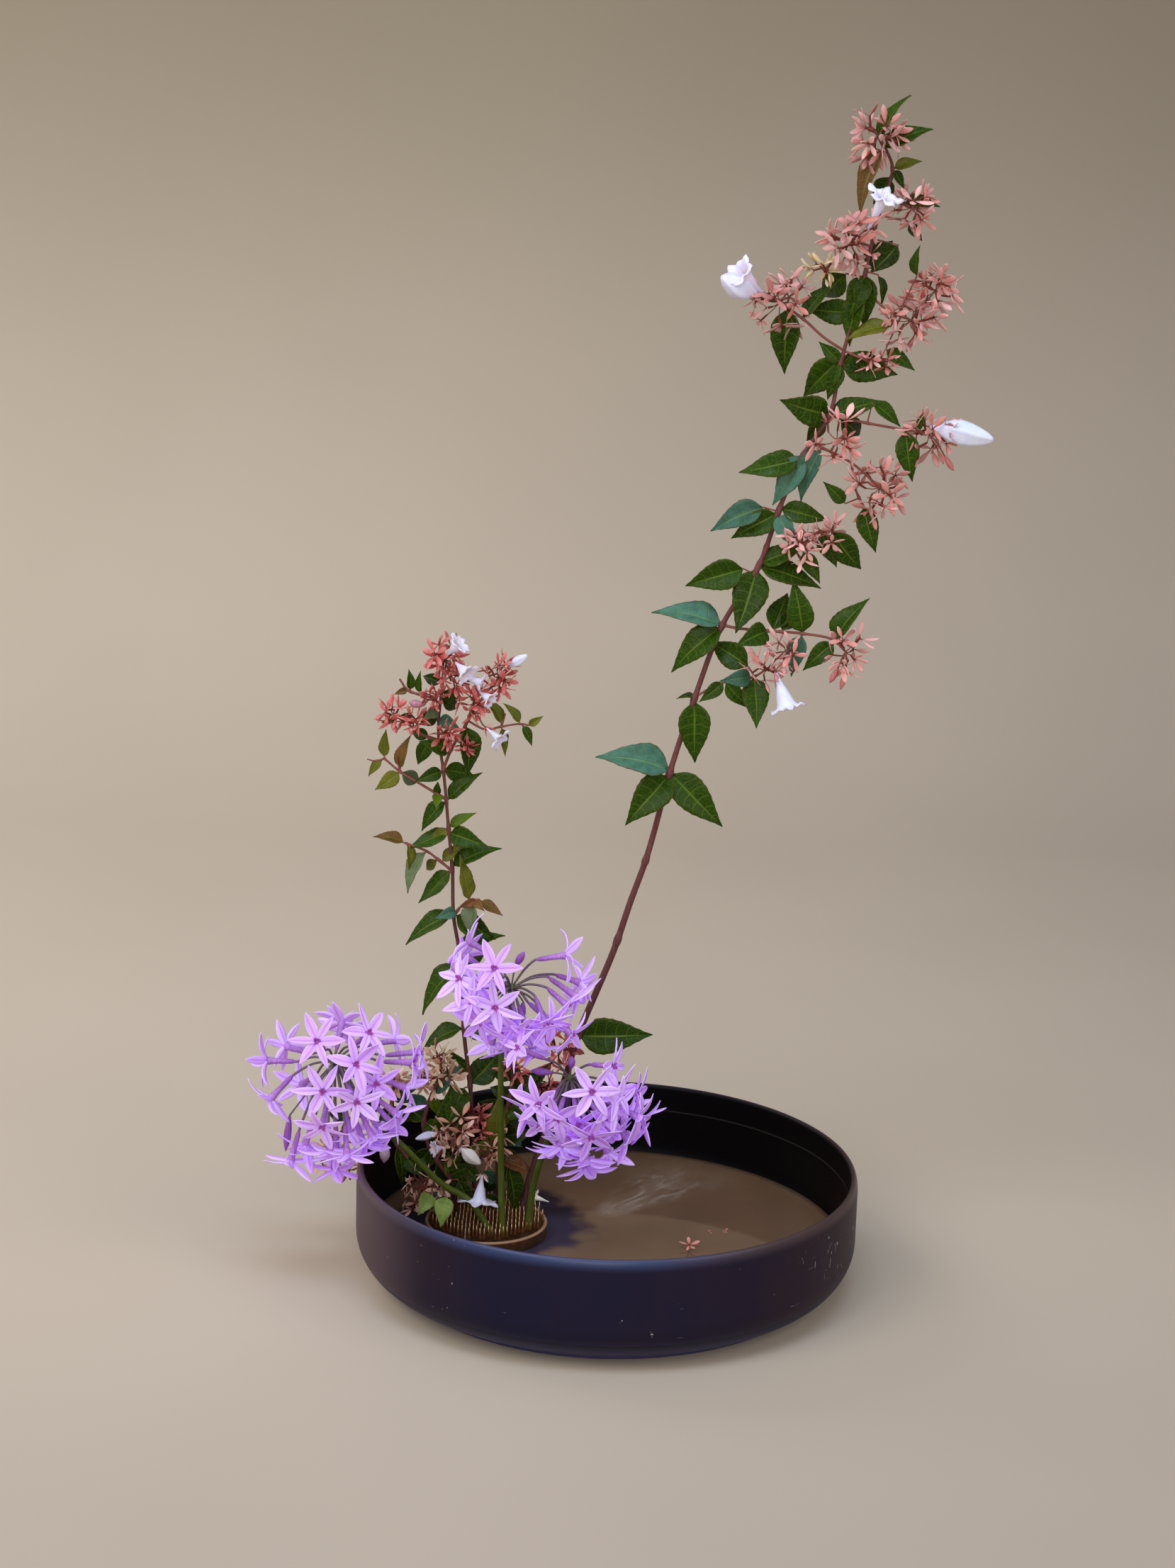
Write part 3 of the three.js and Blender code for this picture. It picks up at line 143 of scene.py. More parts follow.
# Colours of leaves, by their age and by which face shows. The teal tint is not a leaf colour but a
# painted reflection of the bluish sky light on the leaves that face it.
LEAF_TINTS = {
    "green": shade(38, 66, 2),
    "fresh": shade(86, 112, 12),
    "light": shade(130, 152, 74),
    "dark": shade(27, 48, 3),
    # Painted reflection of the bluish sky light, given to a leaf as its tint.
    "teal": shade(70, 114, 98),
    "pale": shade(108, 122, 90),
    "olive": shade(102, 100, 28),
    "brown": shade(112, 74, 38),
    "red": shade(118, 62, 44),
}
SEPAL_TINTS = {
    "salmon": (shade(240, 186, 180), shade(196, 108, 96)),
    "coral": (shade(236, 126, 120), shade(176, 54, 52)),
    "rose": (shade(248, 190, 184), shade(212, 122, 112)),
    "tan": (shade(255, 216, 192), shade(232, 166, 130)),
    "straw": (shade(226, 210, 152), shade(224, 172, 136)),
    "cream": (shade(240, 226, 190), shade(224, 202, 148)),
}
WOOD_TINT = shade(106, 56, 54)
TWIG_TINT = shade(134, 74, 62)
OLD_WOOD_TINT = shade(56, 32, 30)
SCAPE_TINT = shade(84, 100, 24)
SCAPE_FOOT_TINT = shade(100, 110, 38)
PEDICEL_TINT = shade(112, 96, 98)
TUBE_TINT = shade(204, 142, 230)
BUD_TINT = shade(164, 92, 196)
WHITE_TINT = shade(240, 234, 252)
LILAC_TINT = shade(240, 230, 252)
CREAM_TINT = shade(255, 236, 214)
PINK_TINT = shade(240, 216, 230)
TEPAL_TINTS = (shade(212, 162, 250), shade(234, 200, 255))
FALLEN_SEPAL_TINT = shade(226, 140, 122)

# The plants, in millimetres, their places read as `spot` takes them. A foot is (x, y) on the pin
# holder. A shoot is its radii at both ends and a list of (x, z, toward) along it. A leaf is (base
# x, base z, tip x, tip z, seen width, 1 if it leans towards the eye or -1, tint, ahead). Rings are
# bare leaf joints (x, z) on the wood.
TALL = {
    "name": "tall_branch",
    "foot": (-51, 46),
    "rings": [(17.3, 251), (2, 201)],
    "shoots": [
        ((2.4, 0.8), [
            (-49.8, 34.8, -16), (-42.7, 62, -15), (-26.6, 113.8, -12), (-21, 137, -10),
            (0, 194.5, -6), (9, 225, -5), (17, 250, -3), (22, 270, -2), (30, 306, 0),
            (43, 351.5, 2), (57.5, 395, 3), (77, 430, 4), (88, 465, 5), (99, 494, 6),
            (114, 519, 7), (119, 549, 8), (129, 592, 9), (137, 636, 10), (143, 659, 10),
            (134, 677, 18),
        ]),
        ((0.9, 0.7), [
            (58.5, 394.5, 3), (67, 393, 6), (87, 392, 8), (104.7, 391, 8), (122, 388, 9),
            (130, 381, 12),
        ]),
        ((0.8, 0.7), [(121, 556, 8), (108.5, 563.6, 9), (98.5, 572, 9), (83, 583, 8)]),
        ((0.8, 0.7), [(129, 592, 9), (143, 581, 12), (158, 574.5, 14)]),
        ((0.8, 0.7), [(114, 519, 7), (136.8, 515, 8), (150, 513, 8), (172, 510, 8)]),
        ((0.8, 0.7), [(104, 503, 7), (128, 492, 10), (145, 478, 13)]),
        ((0.7, 0.6), [(43, 351.5, 2), (60, 361, 6), (76, 364, 8), (84, 369, 12)]),
        ((0.8, 0.6), [(84.4, 453.5, 5), (97, 450, 10), (108, 450.5, 13), (118, 452, 12)]),
        ((0.8, 0.7), [(128, 492, 10), (131, 477, 9), (136, 467, 9)]),
    ],
    "leaves": [
        (139, 675, 148, 700, 6, 1, "green"), (141.6, 672, 163, 682.5, 10, -1, "green"),
        (146, 658.5, 158.5, 663, 6, 1, "olive"), (147, 660, 150, 649, 5, -1, "dark"),
        (132.7, 667.5, 125.7, 633.6, 9, -1, "brown"), (141, 655, 134, 640, 12, -1, "green"),
        (150, 640, 170, 640, 7, -1, "dark"), (153.5, 630, 161, 620, 6, -1, "dark"),
        (120, 600, 106.4, 586, 14, -1, "green"), (129, 600, 123, 575, 13, 1, "green"),
        (131, 603, 144, 618, 15, -1, "dark"), (125.4, 578, 99, 579, 14, -1, "green"),
        (128, 590, 122, 560, 12, -1, "green"), (147, 571, 122.5, 563, 8, 1, "olive"),
        (159.7, 599, 161, 615.6, 5, -1, "green"), (97, 575, 113, 594, 8, -1, "green"),
        (84, 575, 87.4, 542.6, 16, -1, "green"), (144, 558, 160.6, 546.6, 8, -1, "green"),
        (119, 549, 107, 560.5, 8, 1, "green"), (116.5, 553, 97.7, 529.6, 16, -1, "green"),
        (119, 549, 112.5, 529, 10, 1, "green"), (119, 549, 150.4, 544, 17, -1, "green"),
        (114, 519, 85.4, 526.6, 17, 1, "green"), (114, 519, 143, 527.7, 12, -1, "green"),
        (138, 527, 155, 515, 8, 1, "green"), (120, 517, 133, 508, 12, -1, "dark"),
        (113, 517, 102, 505, 9, -1, "dark"), (166.6, 514, 168.6, 523, 4, -1, "green"),
        (157.8, 510, 163, 483, 13, -1, "green"), (94.6, 494.5, 64.7, 484, 14, 1, "green"),
        (101, 496, 84.7, 466.7, 14, -1, "teal"), (108, 495, 99, 470, 12, 1, "teal"),
        (126, 468, 113.5, 480, 8, -1, "green"), (137, 466, 143.7, 441, 12, -1, "green"),
        (79, 465, 48.6, 451.7, 14, -1, "teal"), (86, 462, 61.5, 446, 14, 1, "green"),
        (89, 464, 115.4, 458, 12, -1, "green"), (87, 461, 97, 443, 11, 1, "teal"),
        (118, 452, 135.7, 430.4, 15, -1, "green"), (69, 428.6, 36, 417, 17, -1, "green"),
        (76, 429, 66, 391, 20, 1, "green"), (80, 431, 103, 442, 11, -1, "green"),
        (102, 440, 112.6, 422, 9, -1, "green"), (80, 429, 112.7, 418.4, 13, 1, "green"),
        (87, 394, 94, 415, 14, -1, "green"), (104.7, 392, 98, 422, 15, 1, "green"),
        (53, 396, 18, 404, 13, -1, "teal"), (56, 394, 29, 367, 16, 1, "green"),
        (74, 370, 52, 384.6, 15, -1, "green"), (84, 391, 67, 384, 13, 1, "green"),
        (104, 388, 98, 366, 11, -1, "teal"), (76, 364, 59, 362, 10, 1, "teal"),
        (125.5, 390, 139.6, 413, 11, -1, "green"), (124, 387.5, 106, 370, 11, 1, "green"),
        (45, 349, 45, 312, 18, 1, "green"), (60, 361, 46.4, 349, 8, -1, "green"),
        (60, 361, 74, 346, 9, -1, "green"), (79, 362, 80, 334.5, 15, 1, "green"),
        (25.7, 307.5, -13, 314, 17, -1, "teal"), (28.5, 304, 6, 273, 20, 1, "green"),
        (31.5, 304.6, 61, 273.4, 19, 1, "green"), (-19, 140, 24, 141, 21, 1, "green"),
        (43, 351, 32, 351, 3, -1, "dark"), (138, 600, 140, 583, 4, -1, "dark"),
        (149, 617, 134, 601, 11, -1, "dark"), (127, 601, 131, 570, 13, 1, "green"),
        (112, 452, 122, 432, 11, -1, "dark"), (92, 392, 100, 408, 10, -1, "dark"),
        (120, 545, 136, 556, 10, -1, "dark"), (84, 440, 96, 424, 12, -1, "dark"),
    ],
}
MIDDLE = {
    "name": "middle_branch",
    "foot": (-80, 40),
    "shoots": [
        ((1.4, 0.7), [
            (-80.5, 40, -10), (-83.8, 100.8, -6), (-89, 142.5, -4), (-91, 182.8, -3),
            (-96.3, 213, 0), (-97.5, 240.7, 0), (-100, 265, 2), (-104, 303, 2),
            (-107, 321, 2), (-107.3, 334, 3), (-105.5, 352, 5), (-105, 371, 10),
        ]),
        ((1, 0.8), [(-104, 303, 2), (-99.5, 315.5, 4), (-91.5, 330, 8), (-87, 343.5, 15)]),
        ((0.8, 0.7), [(-91.5, 330, 8), (-83, 345, 4), (-72, 360, 7)]),
        ((0.9, 0.6), [
            (-101.3, 284.5, 2), (-116.4, 293.3, 2), (-129, 300.6, 2), (-139, 308.8, 1),
        ]),
        ((0.9, 0.7), [(-107.3, 321, 2), (-115, 323, 3), (-122.5, 328, 4), (-134, 336, 4)]),
        ((0.8, 0.6), [
            (-106.5, 343, 4), (-114, 347, 5), (-121, 348.5, 4), (-126, 350.5, 3),
            (-130.5, 357, 3),
        ]),
        ((0.8, 0.6), [
            (-97.6, 241, 0), (-106.4, 248, 1), (-112.6, 252.5, 2), (-126, 257.5, 3),
        ]),
        ((0.8, 0.6), [(-96.2, 213, 0), (-92.6, 218.5, 3), (-87.5, 223, 6), (-81, 223.5, 8)]),
        ((0.7, 0.5), [
            (-90, 333, 9), (-79.5, 328, 10), (-70.5, 330, 10), (-59, 332, 9), (-54, 331.3, 9),
        ]),
        ((0.5, 0.4), [(-70.5, 330, 10), (-69, 334, 10), (-68, 338, 10)]),
        ((0.5, 0.4), [(-129, 300.6, 2), (-131, 306, 3), (-131.5, 311, 4)]),
        ((0.5, 0.4), [(-139, 308.8, 1), (-144, 307, 1), (-149, 308, 1)]),
    ],
    "leaves": [
        (-106.5, 355, -116, 359, 7, -1, "dark"), (-105, 350.4, -93.6, 345.5, 8, -1, "green"),
        (-104.5, 346.4, -96, 340.3, 8, -1, "green"), (-70.5, 331.6, -79, 347.5, 6, 1, "olive"),
        (-59, 332.5, -68.5, 343.5, 5, -1, "olive"),
        (-53.5, 331.3, -45.8, 337.4, 4.5, 1, "olive"),
        (-58.3, 330.4, -52.8, 319.7, 5, -1, "green"), (-70, 329, -68, 313.4, 5, -1, "olive"),
        (-89, 329, -88, 300.3, 12, 1, "green"), (-104, 303, -87, 300.2, 11, -1, "green"),
        (-106, 302, -119.5, 296, 8, 1, "green"), (-99.5, 315.5, -117, 319, 10, 1, "green"),
        (-112, 322, -119, 306.5, 9, -1, "green"), (-112, 322, -122.5, 325.5, 7, -1, "green"),
        (-107, 334.5, -95, 327.5, 8, 1, "teal"), (-108, 340, -115.5, 334, 7, 1, "pale"),
        (-107, 338, -118, 330, 9, -1, "dark"), (-129, 301, -118, 294.5, 9, -1, "pale"),
        (-129, 301, -143.2, 290, 9, 1, "olive"), (-129, 302.5, -125, 322, 6.5, 1, "brown"),
        (-138.5, 310, -138, 325.4, 6, -1, "olive"), (-130, 337, -121, 332, 7, -1, "green"),
        (-100, 285, -82, 301, 8.5, -1, "green"), (-102.3, 284, -117, 266.5, 9, -1, "green"),
        (-87.5, 105.4, -98.5, 81, 15, 1, "green", 6), (-86, 112, -97, 128, 9, -1, "green"),
        (-100, 264.5, -78.5, 258, 12, 1, "green"), (-97.5, 268, -85, 276.5, 6, -1, "fresh"),
        (-102, 265, -123, 254, 9, -1, "green"), (-103.4, 267.5, -112, 256, 7, 1, "olive"),
        (-103.8, 247, -91, 257.8, 6.5, 1, "olive"), (-96, 244, -70.8, 256.8, 10, -1, "green"),
        (-87.3, 226.4, -93.8, 249.8, 8, 1, "olive"), (-98.7, 241, -116, 221, 9.5, 1, "green"),
        (-126, 257.6, -143.5, 262, 6.5, -1, "brown"),
        (-124.7, 256.5, -122.5, 241.5, 5, 1, "olive"),
        (-114, 251.5, -123.8, 227.8, 8, 1, "pale"), (-81, 223.6, -68, 214.7, 6, 1, "brown"),
        (-84.8, 222, -85.2, 198.6, 9, 1, "pale"), (-95, 213.6, -71.3, 199.8, 13, -1, "green"),
        (-98, 214.5, -124, 195.6, 10, -1, "green"), (-95, 217, -106.5, 212, 7, 1, "teal"),
        (-90, 194, -66.5, 201.5, 9, -1, "green"), (-91, 184, -78, 189, 9, -1, "green"),
        (-91, 183, -113.5, 152, 10, 1, "green"), (-89, 143, -113, 128.5, 9, -1, "green"),
        (-88, 143, -68, 138, 10, -1, "green"), (-84.6, 107, -67, 127, 16, -1, "dark"),
        (-124, 350, -125, 362, 5, 1, "green"), (-118, 349, -118, 361, 4, 1, "green"),
        (-126.5, 350.5, -133.5, 347.5, 4, 1, "brown"), (-107, 288.5, -107, 296, 4.5, 1, "green"),
        (-82.4, 223.5, -92, 218.5, 5, 1, "red"), (-84, 222, -78, 216.5, 5, 1, "brown"),
        (-107, 247, -113, 241, 6, -1, "olive"), (-107, 287.5, -108, 279.5, 6, 1, "fresh"),
        (-131, 335, -141, 330, 5, -1, "green"), (-139.5, 308, -147.7, 298.5, 5, 1, "olive"),
    ],
}
LOW_LEFT = {
    "name": "low_sprig_left",
    "foot": (-99, 26),
    "shoots": [
        ((1.3, 1), [(-112, 44, 4), (-128, 67, 4), (-143, 84, 2), (-158, 82, 0), (-164, 67, 0)]),
        ((0.8, 0.6), [(-128, 67, 4), (-131, 90, 2), (-131, 108, 0)]),
    ],
    "leaves": [
        (-129, 66, -125, 41, 9, 1, "dark"), (-130, 96, -112, 110, 9, -1, "green"),
        (-131, 90, -140, 80, 8, 1, "dark"), (-143, 84, -150, 112, 9, -1, "green"),
        (-131, 100, -118, 95, 8, 1, "dark"), (-158, 82, -172, 90, 8, -1, "dark"),
        (-130, 92, -116, 82, 9, -1, "dark"), (-126, 66, -115, 58, 8, -1, "dark"),
        (-122, 60, -113, 47, 9, 1, "dark"), (-136, 76, -146, 66, 8, -1, "dark"),
    ],
}
LOW_FRONT = {
    "name": "low_sprig_front",
    "foot": (-91, 35),
    "shoots": [
        ((1.5, 1), [(-95, 45, -1), (-104, 58, 1), (-112, 78, 2), (-108, 98, 2), (-101, 112, 8)]),
        ((0.8, 0.7), [(-104, 58, 1), (-98, 69, 5), (-92.3, 79.4, 15)]),
        ((0.8, 0.7), [(-95, 45, -1), (-103, 41.5, 6), (-112, 41, 12)]),
    ],
    "leaves": [
        (-98, 70, -95, 106, 18, -1, "green"), (-107, 100, -91, 118.5, 9, 1, "teal"),
        (-111, 101, -102, 86, 7, 1, "fresh"), (-111, 82, -122, 92, 10, -1, "green"),
        (-110, 82, -101, 75, 8, 1, "green"), (-101, 72, -84, 76, 9, -1, "teal"),
        (-104, 56, -122, 60, 10, -1, "green"), (-94, 43.5, -97.4, 63, 7, 1, "fresh"),
        (-106, 36, -114.7, 22.5, 10, 1, "light", 26), (-97.6, 35, -101, 15.5, 11, 1, "light", 34),
        (-100, 41, -107, 26, 8, 1, "teal", 12), (-90.5, 35.5, -86, 54, 8, -1, "green"),
        (-96, 48, -80, 56, 8, 1, "dark"), (-91, 46, -81.5, 28, 9, 1, "dark", 8),
        (-86.5, 54, -76, 43, 9, 1, "dark"), (-75, 37, -64.5, 28, 8, -1, "dark"),
        (-108, 66, -116, 50, 10, -1, "dark"), (-100, 62, -90, 74, 9, -1, "dark"),
        (-104, 58, -96, 44, 9, -1, "dark"), (-112, 80, -104, 66, 9, -1, "dark"),
        (-108, 96, -96, 88, 9, -1, "green"), (-96, 47, -107, 30, 9, -1, "dark"),
        (-110, 90, -122, 100, 9, -1, "teal"), (-98, 52, -88, 62, 8, -1, "green"),
    ],
}
LOW_BACK = {
    "name": "low_sprig_back",
    "foot": (-66, 50),
    "shoots": [
        ((1.5, 1), [
            (-66.5, 45, -19), (-66, 62, -16), (-64, 80, -14), (-60, 100, -10), (-58, 118, -4),
        ]),
        ((0.8, 0.7), [(-60, 100, -10), (-50, 106, -13), (-38.5, 108, -13)]),
        ((0.8, 0.7), [(-64, 80, -14), (-72, 85, -11), (-80, 86.5, -6)]),
        ((0.8, 0.7), [(-66, 62, -16), (-68, 70, -2)]),
    ],
    "leaves": [
        (-69, 69, -67, 98, 12, -1, "olive"), (-68, 68, -86, 64, 8, 1, "fresh"),
        (-66, 70, -47, 76, 8, -1, "teal"), (-66, 60, -45, 50, 9, 1, "red"),
        (-65, 40, -59, 58, 8, 1, "dark"), (-67, 40, -77, 52, 8, 1, "teal"),
        (-60, 101, -43, 114, 10, -1, "dark"), (-62, 92, -50, 86, 9, 1, "green"),
        (-60, 100, -72, 106, 8, -1, "dark"), (-50, 106, -36, 122, 9, -1, "dark"),
        (-58, 108, -60, 128, 9, -1, "green"), (-64, 80, -53, 68, 9, -1, "teal"),
        (-67, 95, -73.5, 67, 11, 1, "olive"), (-59, 106, -43, 114.5, 11, -1, "dark"),
        (-60.5, 56, -57, 25, 10, 1, "dark", 6), (-64, 84, -48, 90, 11, -1, "dark"),
        (-60, 98, -46, 100, 10, -1, "green"), (-66, 58, -76, 70, 9, -1, "dark"),
        (-65, 66, -54, 56, 9, -1, "dark"), (-66, 50, -74, 38, 9, -1, "dark"),
        (-62, 92, -78, 96, 9, -1, "dark"), (-58, 110, -70, 118, 9, -1, "dark"),
        (-50, 106, -40, 96, 9, -1, "dark"), (-64, 74, -46, 78, 10, 1, "dark"),
    ],
}
BRANCHES = [TALL, MIDDLE, LOW_LEFT, LOW_FRONT, LOW_BACK]

# Calyx bunches by node: the branch, the sepals' tint and (x, z, toward, reach) of each bunch.
SPRAYS = {
    "tall_bunch_low": (TALL, "coral", [(-32, 132, -12, 12)]),
    "tall_bunch_top": (TALL, "salmon", [(134, 677, 18, 15)]),
    "tall_bunch_upper_right": (TALL, "salmon", [(155, 638, 16, 13)]),
    "tall_bunch_upper": (TALL, "salmon", [(121, 618, 20, 16), (107, 601.5, 18, 8)]),
    "tall_bunch_left": (TALL, "salmon", [(83, 583, 8, 17)]),
    "tall_bunch_right": (TALL, "salmon", [(158, 574.5, 14, 15), (171, 592, 12, 13)]),
    "tall_stars": (TALL, "rose", [(135, 550.5, 16, 6), (144, 551, 15, 6)]),
    "tall_bunch_middle": (TALL, "rose", [(119, 505, 20, 14)]),
    "tall_bunch_far_right": (TALL, "salmon", [(172, 510, 8, 13)]),
    "tall_bunch_hanging": (TALL, "salmon", [(145, 478, 13, 16)]),
    "tall_bunch_lower": (TALL, "rose", [(101, 443, 16, 11), (115, 450, 16, 10)]),
    "tall_bunch_twig": (TALL, "rose", [(84, 369, 12, 11), (95, 381, 16, 9)]),
    "tall_bunch_twig_end": (TALL, "rose", [(130, 381, 12, 13)]),
    "middle_bunch_top": (MIDDLE, "coral", [(-105, 371, 10, 11), (-100, 358, 14, 8)]),
    "middle_bunch_right": (MIDDLE, "coral", [(-72, 360, 7, 10)]),
    "middle_bunch_centre": (MIDDLE, "coral", [(-87, 343.5, 15, 10)]),
    "middle_bunch_inner": (MIDDLE, "coral", [(-111, 346, 12, 7)]),
    "middle_bunch_left": (MIDDLE, "coral", [(-134, 336, 4, 9), (-121.5, 332, 9, 7)]),
    "middle_stars": (MIDDLE, "coral", [(-102, 325, 14, 7), (-91, 317, 14, 5)]),
    "low_bunch_high": (
        LOW_FRONT, "straw", [(-101, 112, 8, 11), (-103, 124, 4, 8), (-114, 110, 8, 7)],
    ),
    "low_bunch_middle": (
        LOW_FRONT, "tan", [(-92.3, 79.4, 15, 10), (-94, 67.5, 17, 10), (-104, 73, 12, 6)],
    ),
    "low_bunch_front": (
        LOW_FRONT, "tan", [(-112, 41, 12, 10), (-104, 37, 14, 7), (-118, 29, 18, 7)],
    ),
    "low_bunch_behind": (LOW_BACK, "coral", [(-80, 86.5, -6, 7), (-78, 76, -1, 5)]),
    "low_bunch_scape": (LOW_BACK, "tan", [(-68, 70, -2, 9), (-73, 62, 5, 8)]),
    "low_bunch_right": (LOW_BACK, "coral", [(-38.5, 108, -13, 7)]),
    "low_bunch_upper": (LOW_BACK, "coral", [(-58, 118, -4, 8)]),
    "low_bunch_left": (LOW_LEFT, "tan", [(-131, 108, 0, 9)]),
    "low_bunch_over_rim": (
        LOW_LEFT, "tan", [(-164, 67, 0, 10), (-159, 51, 2, 7), (-173, 56, 1, 7)],
    ),
}

# White flowers by node: the spray's node, tint, and each bloom's shape, base (x, z),
# mouth (x, z), toward, how far its mouth comes ahead of its base, and the reach of its lobes.
FLOWERS = {
    "tall_flower_upper": (
        "tall_bunch_upper", WHITE_TINT, [(0, (131, 625), (139, 643), 24, 8, 9.5)],
    ),
    "tall_flower_left": (
        "tall_bunch_left", LILAC_TINT,
        [(1, (73, 587), (59, 598), 12, 9, 9.5), (3, (70, 586), (49, 596), 15, 6, 8.5)],
    ),
    "tall_flower_right": (
        "tall_bunch_far_right", WHITE_TINT, [(3, (172, 514), (209, 507.5), 9, 3, 8)],
    ),
    "tall_flower_lower": (
        "tall_bunch_twig", WHITE_TINT, [(1, (90, 367), (97, 347), 20, 4, 9)],
    ),
    "middle_flower_top": (
        "middle_bunch_top", LILAC_TINT, [(2, (-103, 372), (-96, 379), 16, 3, 6.5)],
    ),
    "middle_flower_inner": (
        "middle_bunch_top", LILAC_TINT,
        [(1, (-98, 368), (-91, 361), 20, 6, 6.5), (2, (-94, 360), (-83, 356), 19, 2, 4.5)],
    ),
    "middle_flower_centre": (
        "middle_bunch_centre", WHITE_TINT, [(2, (-84, 351), (-77, 346), 17, 5, 5)],
    ),
    "middle_flower_right": (
        "middle_bunch_right", LILAC_TINT, [(3, (-66.5, 366), (-56, 373.5), 9, 2, 3.2)],
    ),
    "middle_flower_low": (
        "middle_bunch_centre", LILAC_TINT, [(0, (-79, 329), (-71, 322), 20, 5, 6.5)],
    ),
    "low_flower_left": (
        "low_bunch_middle", WHITE_TINT, [(3, (-104, 75.4), (-117, 71), 18, 2, 2.8)],
    ),
    "low_flower_small": (
        "low_bunch_middle", PINK_TINT, [(2, (-99, 66), (-105.5, 65), 22, 4, 4.5)],
    ),
    "low_flower_wilted": (
        "low_bunch_middle", CREAM_TINT, [(3, (-89.5, 66), (-77, 56), 24, 2, 4.6)],
    ),
    "low_flower_hanging": (
        "low_bunch_scape", WHITE_TINT, [(0, (-76, 49), (-77.4, 32), 16, 3, 11)],
    ),
}

# On the water: foot and mouth (x, y, z) of the fallen flower, and the fallen calyx and its specks
# as (x, y, size, how far it leans to the right).
FALLEN_FLOWER = (-35, 46.5, 26.2), (-43, 49, 27.8)
FALLEN_SEPALS = (50, -19.5, 7, 0.3), (63, 7, 1.6, 0.9), (73, 8.5, 2, -0.8)

# Closed buds: spray's node, base (x, z), tip (x, z), toward, radius and tint.
BUDS = [
    ("tall_bunch_far_right", (181, 498), (187, 489), 8, 2, shade(206, 120, 120)),
    ("tall_bunch_twig_end", (126, 371), (121.5, 362), 13, 1.8, shade(206, 120, 120)),
    ("tall_bunch_twig_end", (131, 370), (128, 358), 15, 1.8, shade(206, 120, 120)),
    ("middle_bunch_inner", (-116, 341.5), (-125, 343), 14, 2.4, shade(190, 130, 150)),
    ("low_bunch_left", (-135, 68), (-136, 55), 12, 3.4, shade(222, 190, 210)),
]

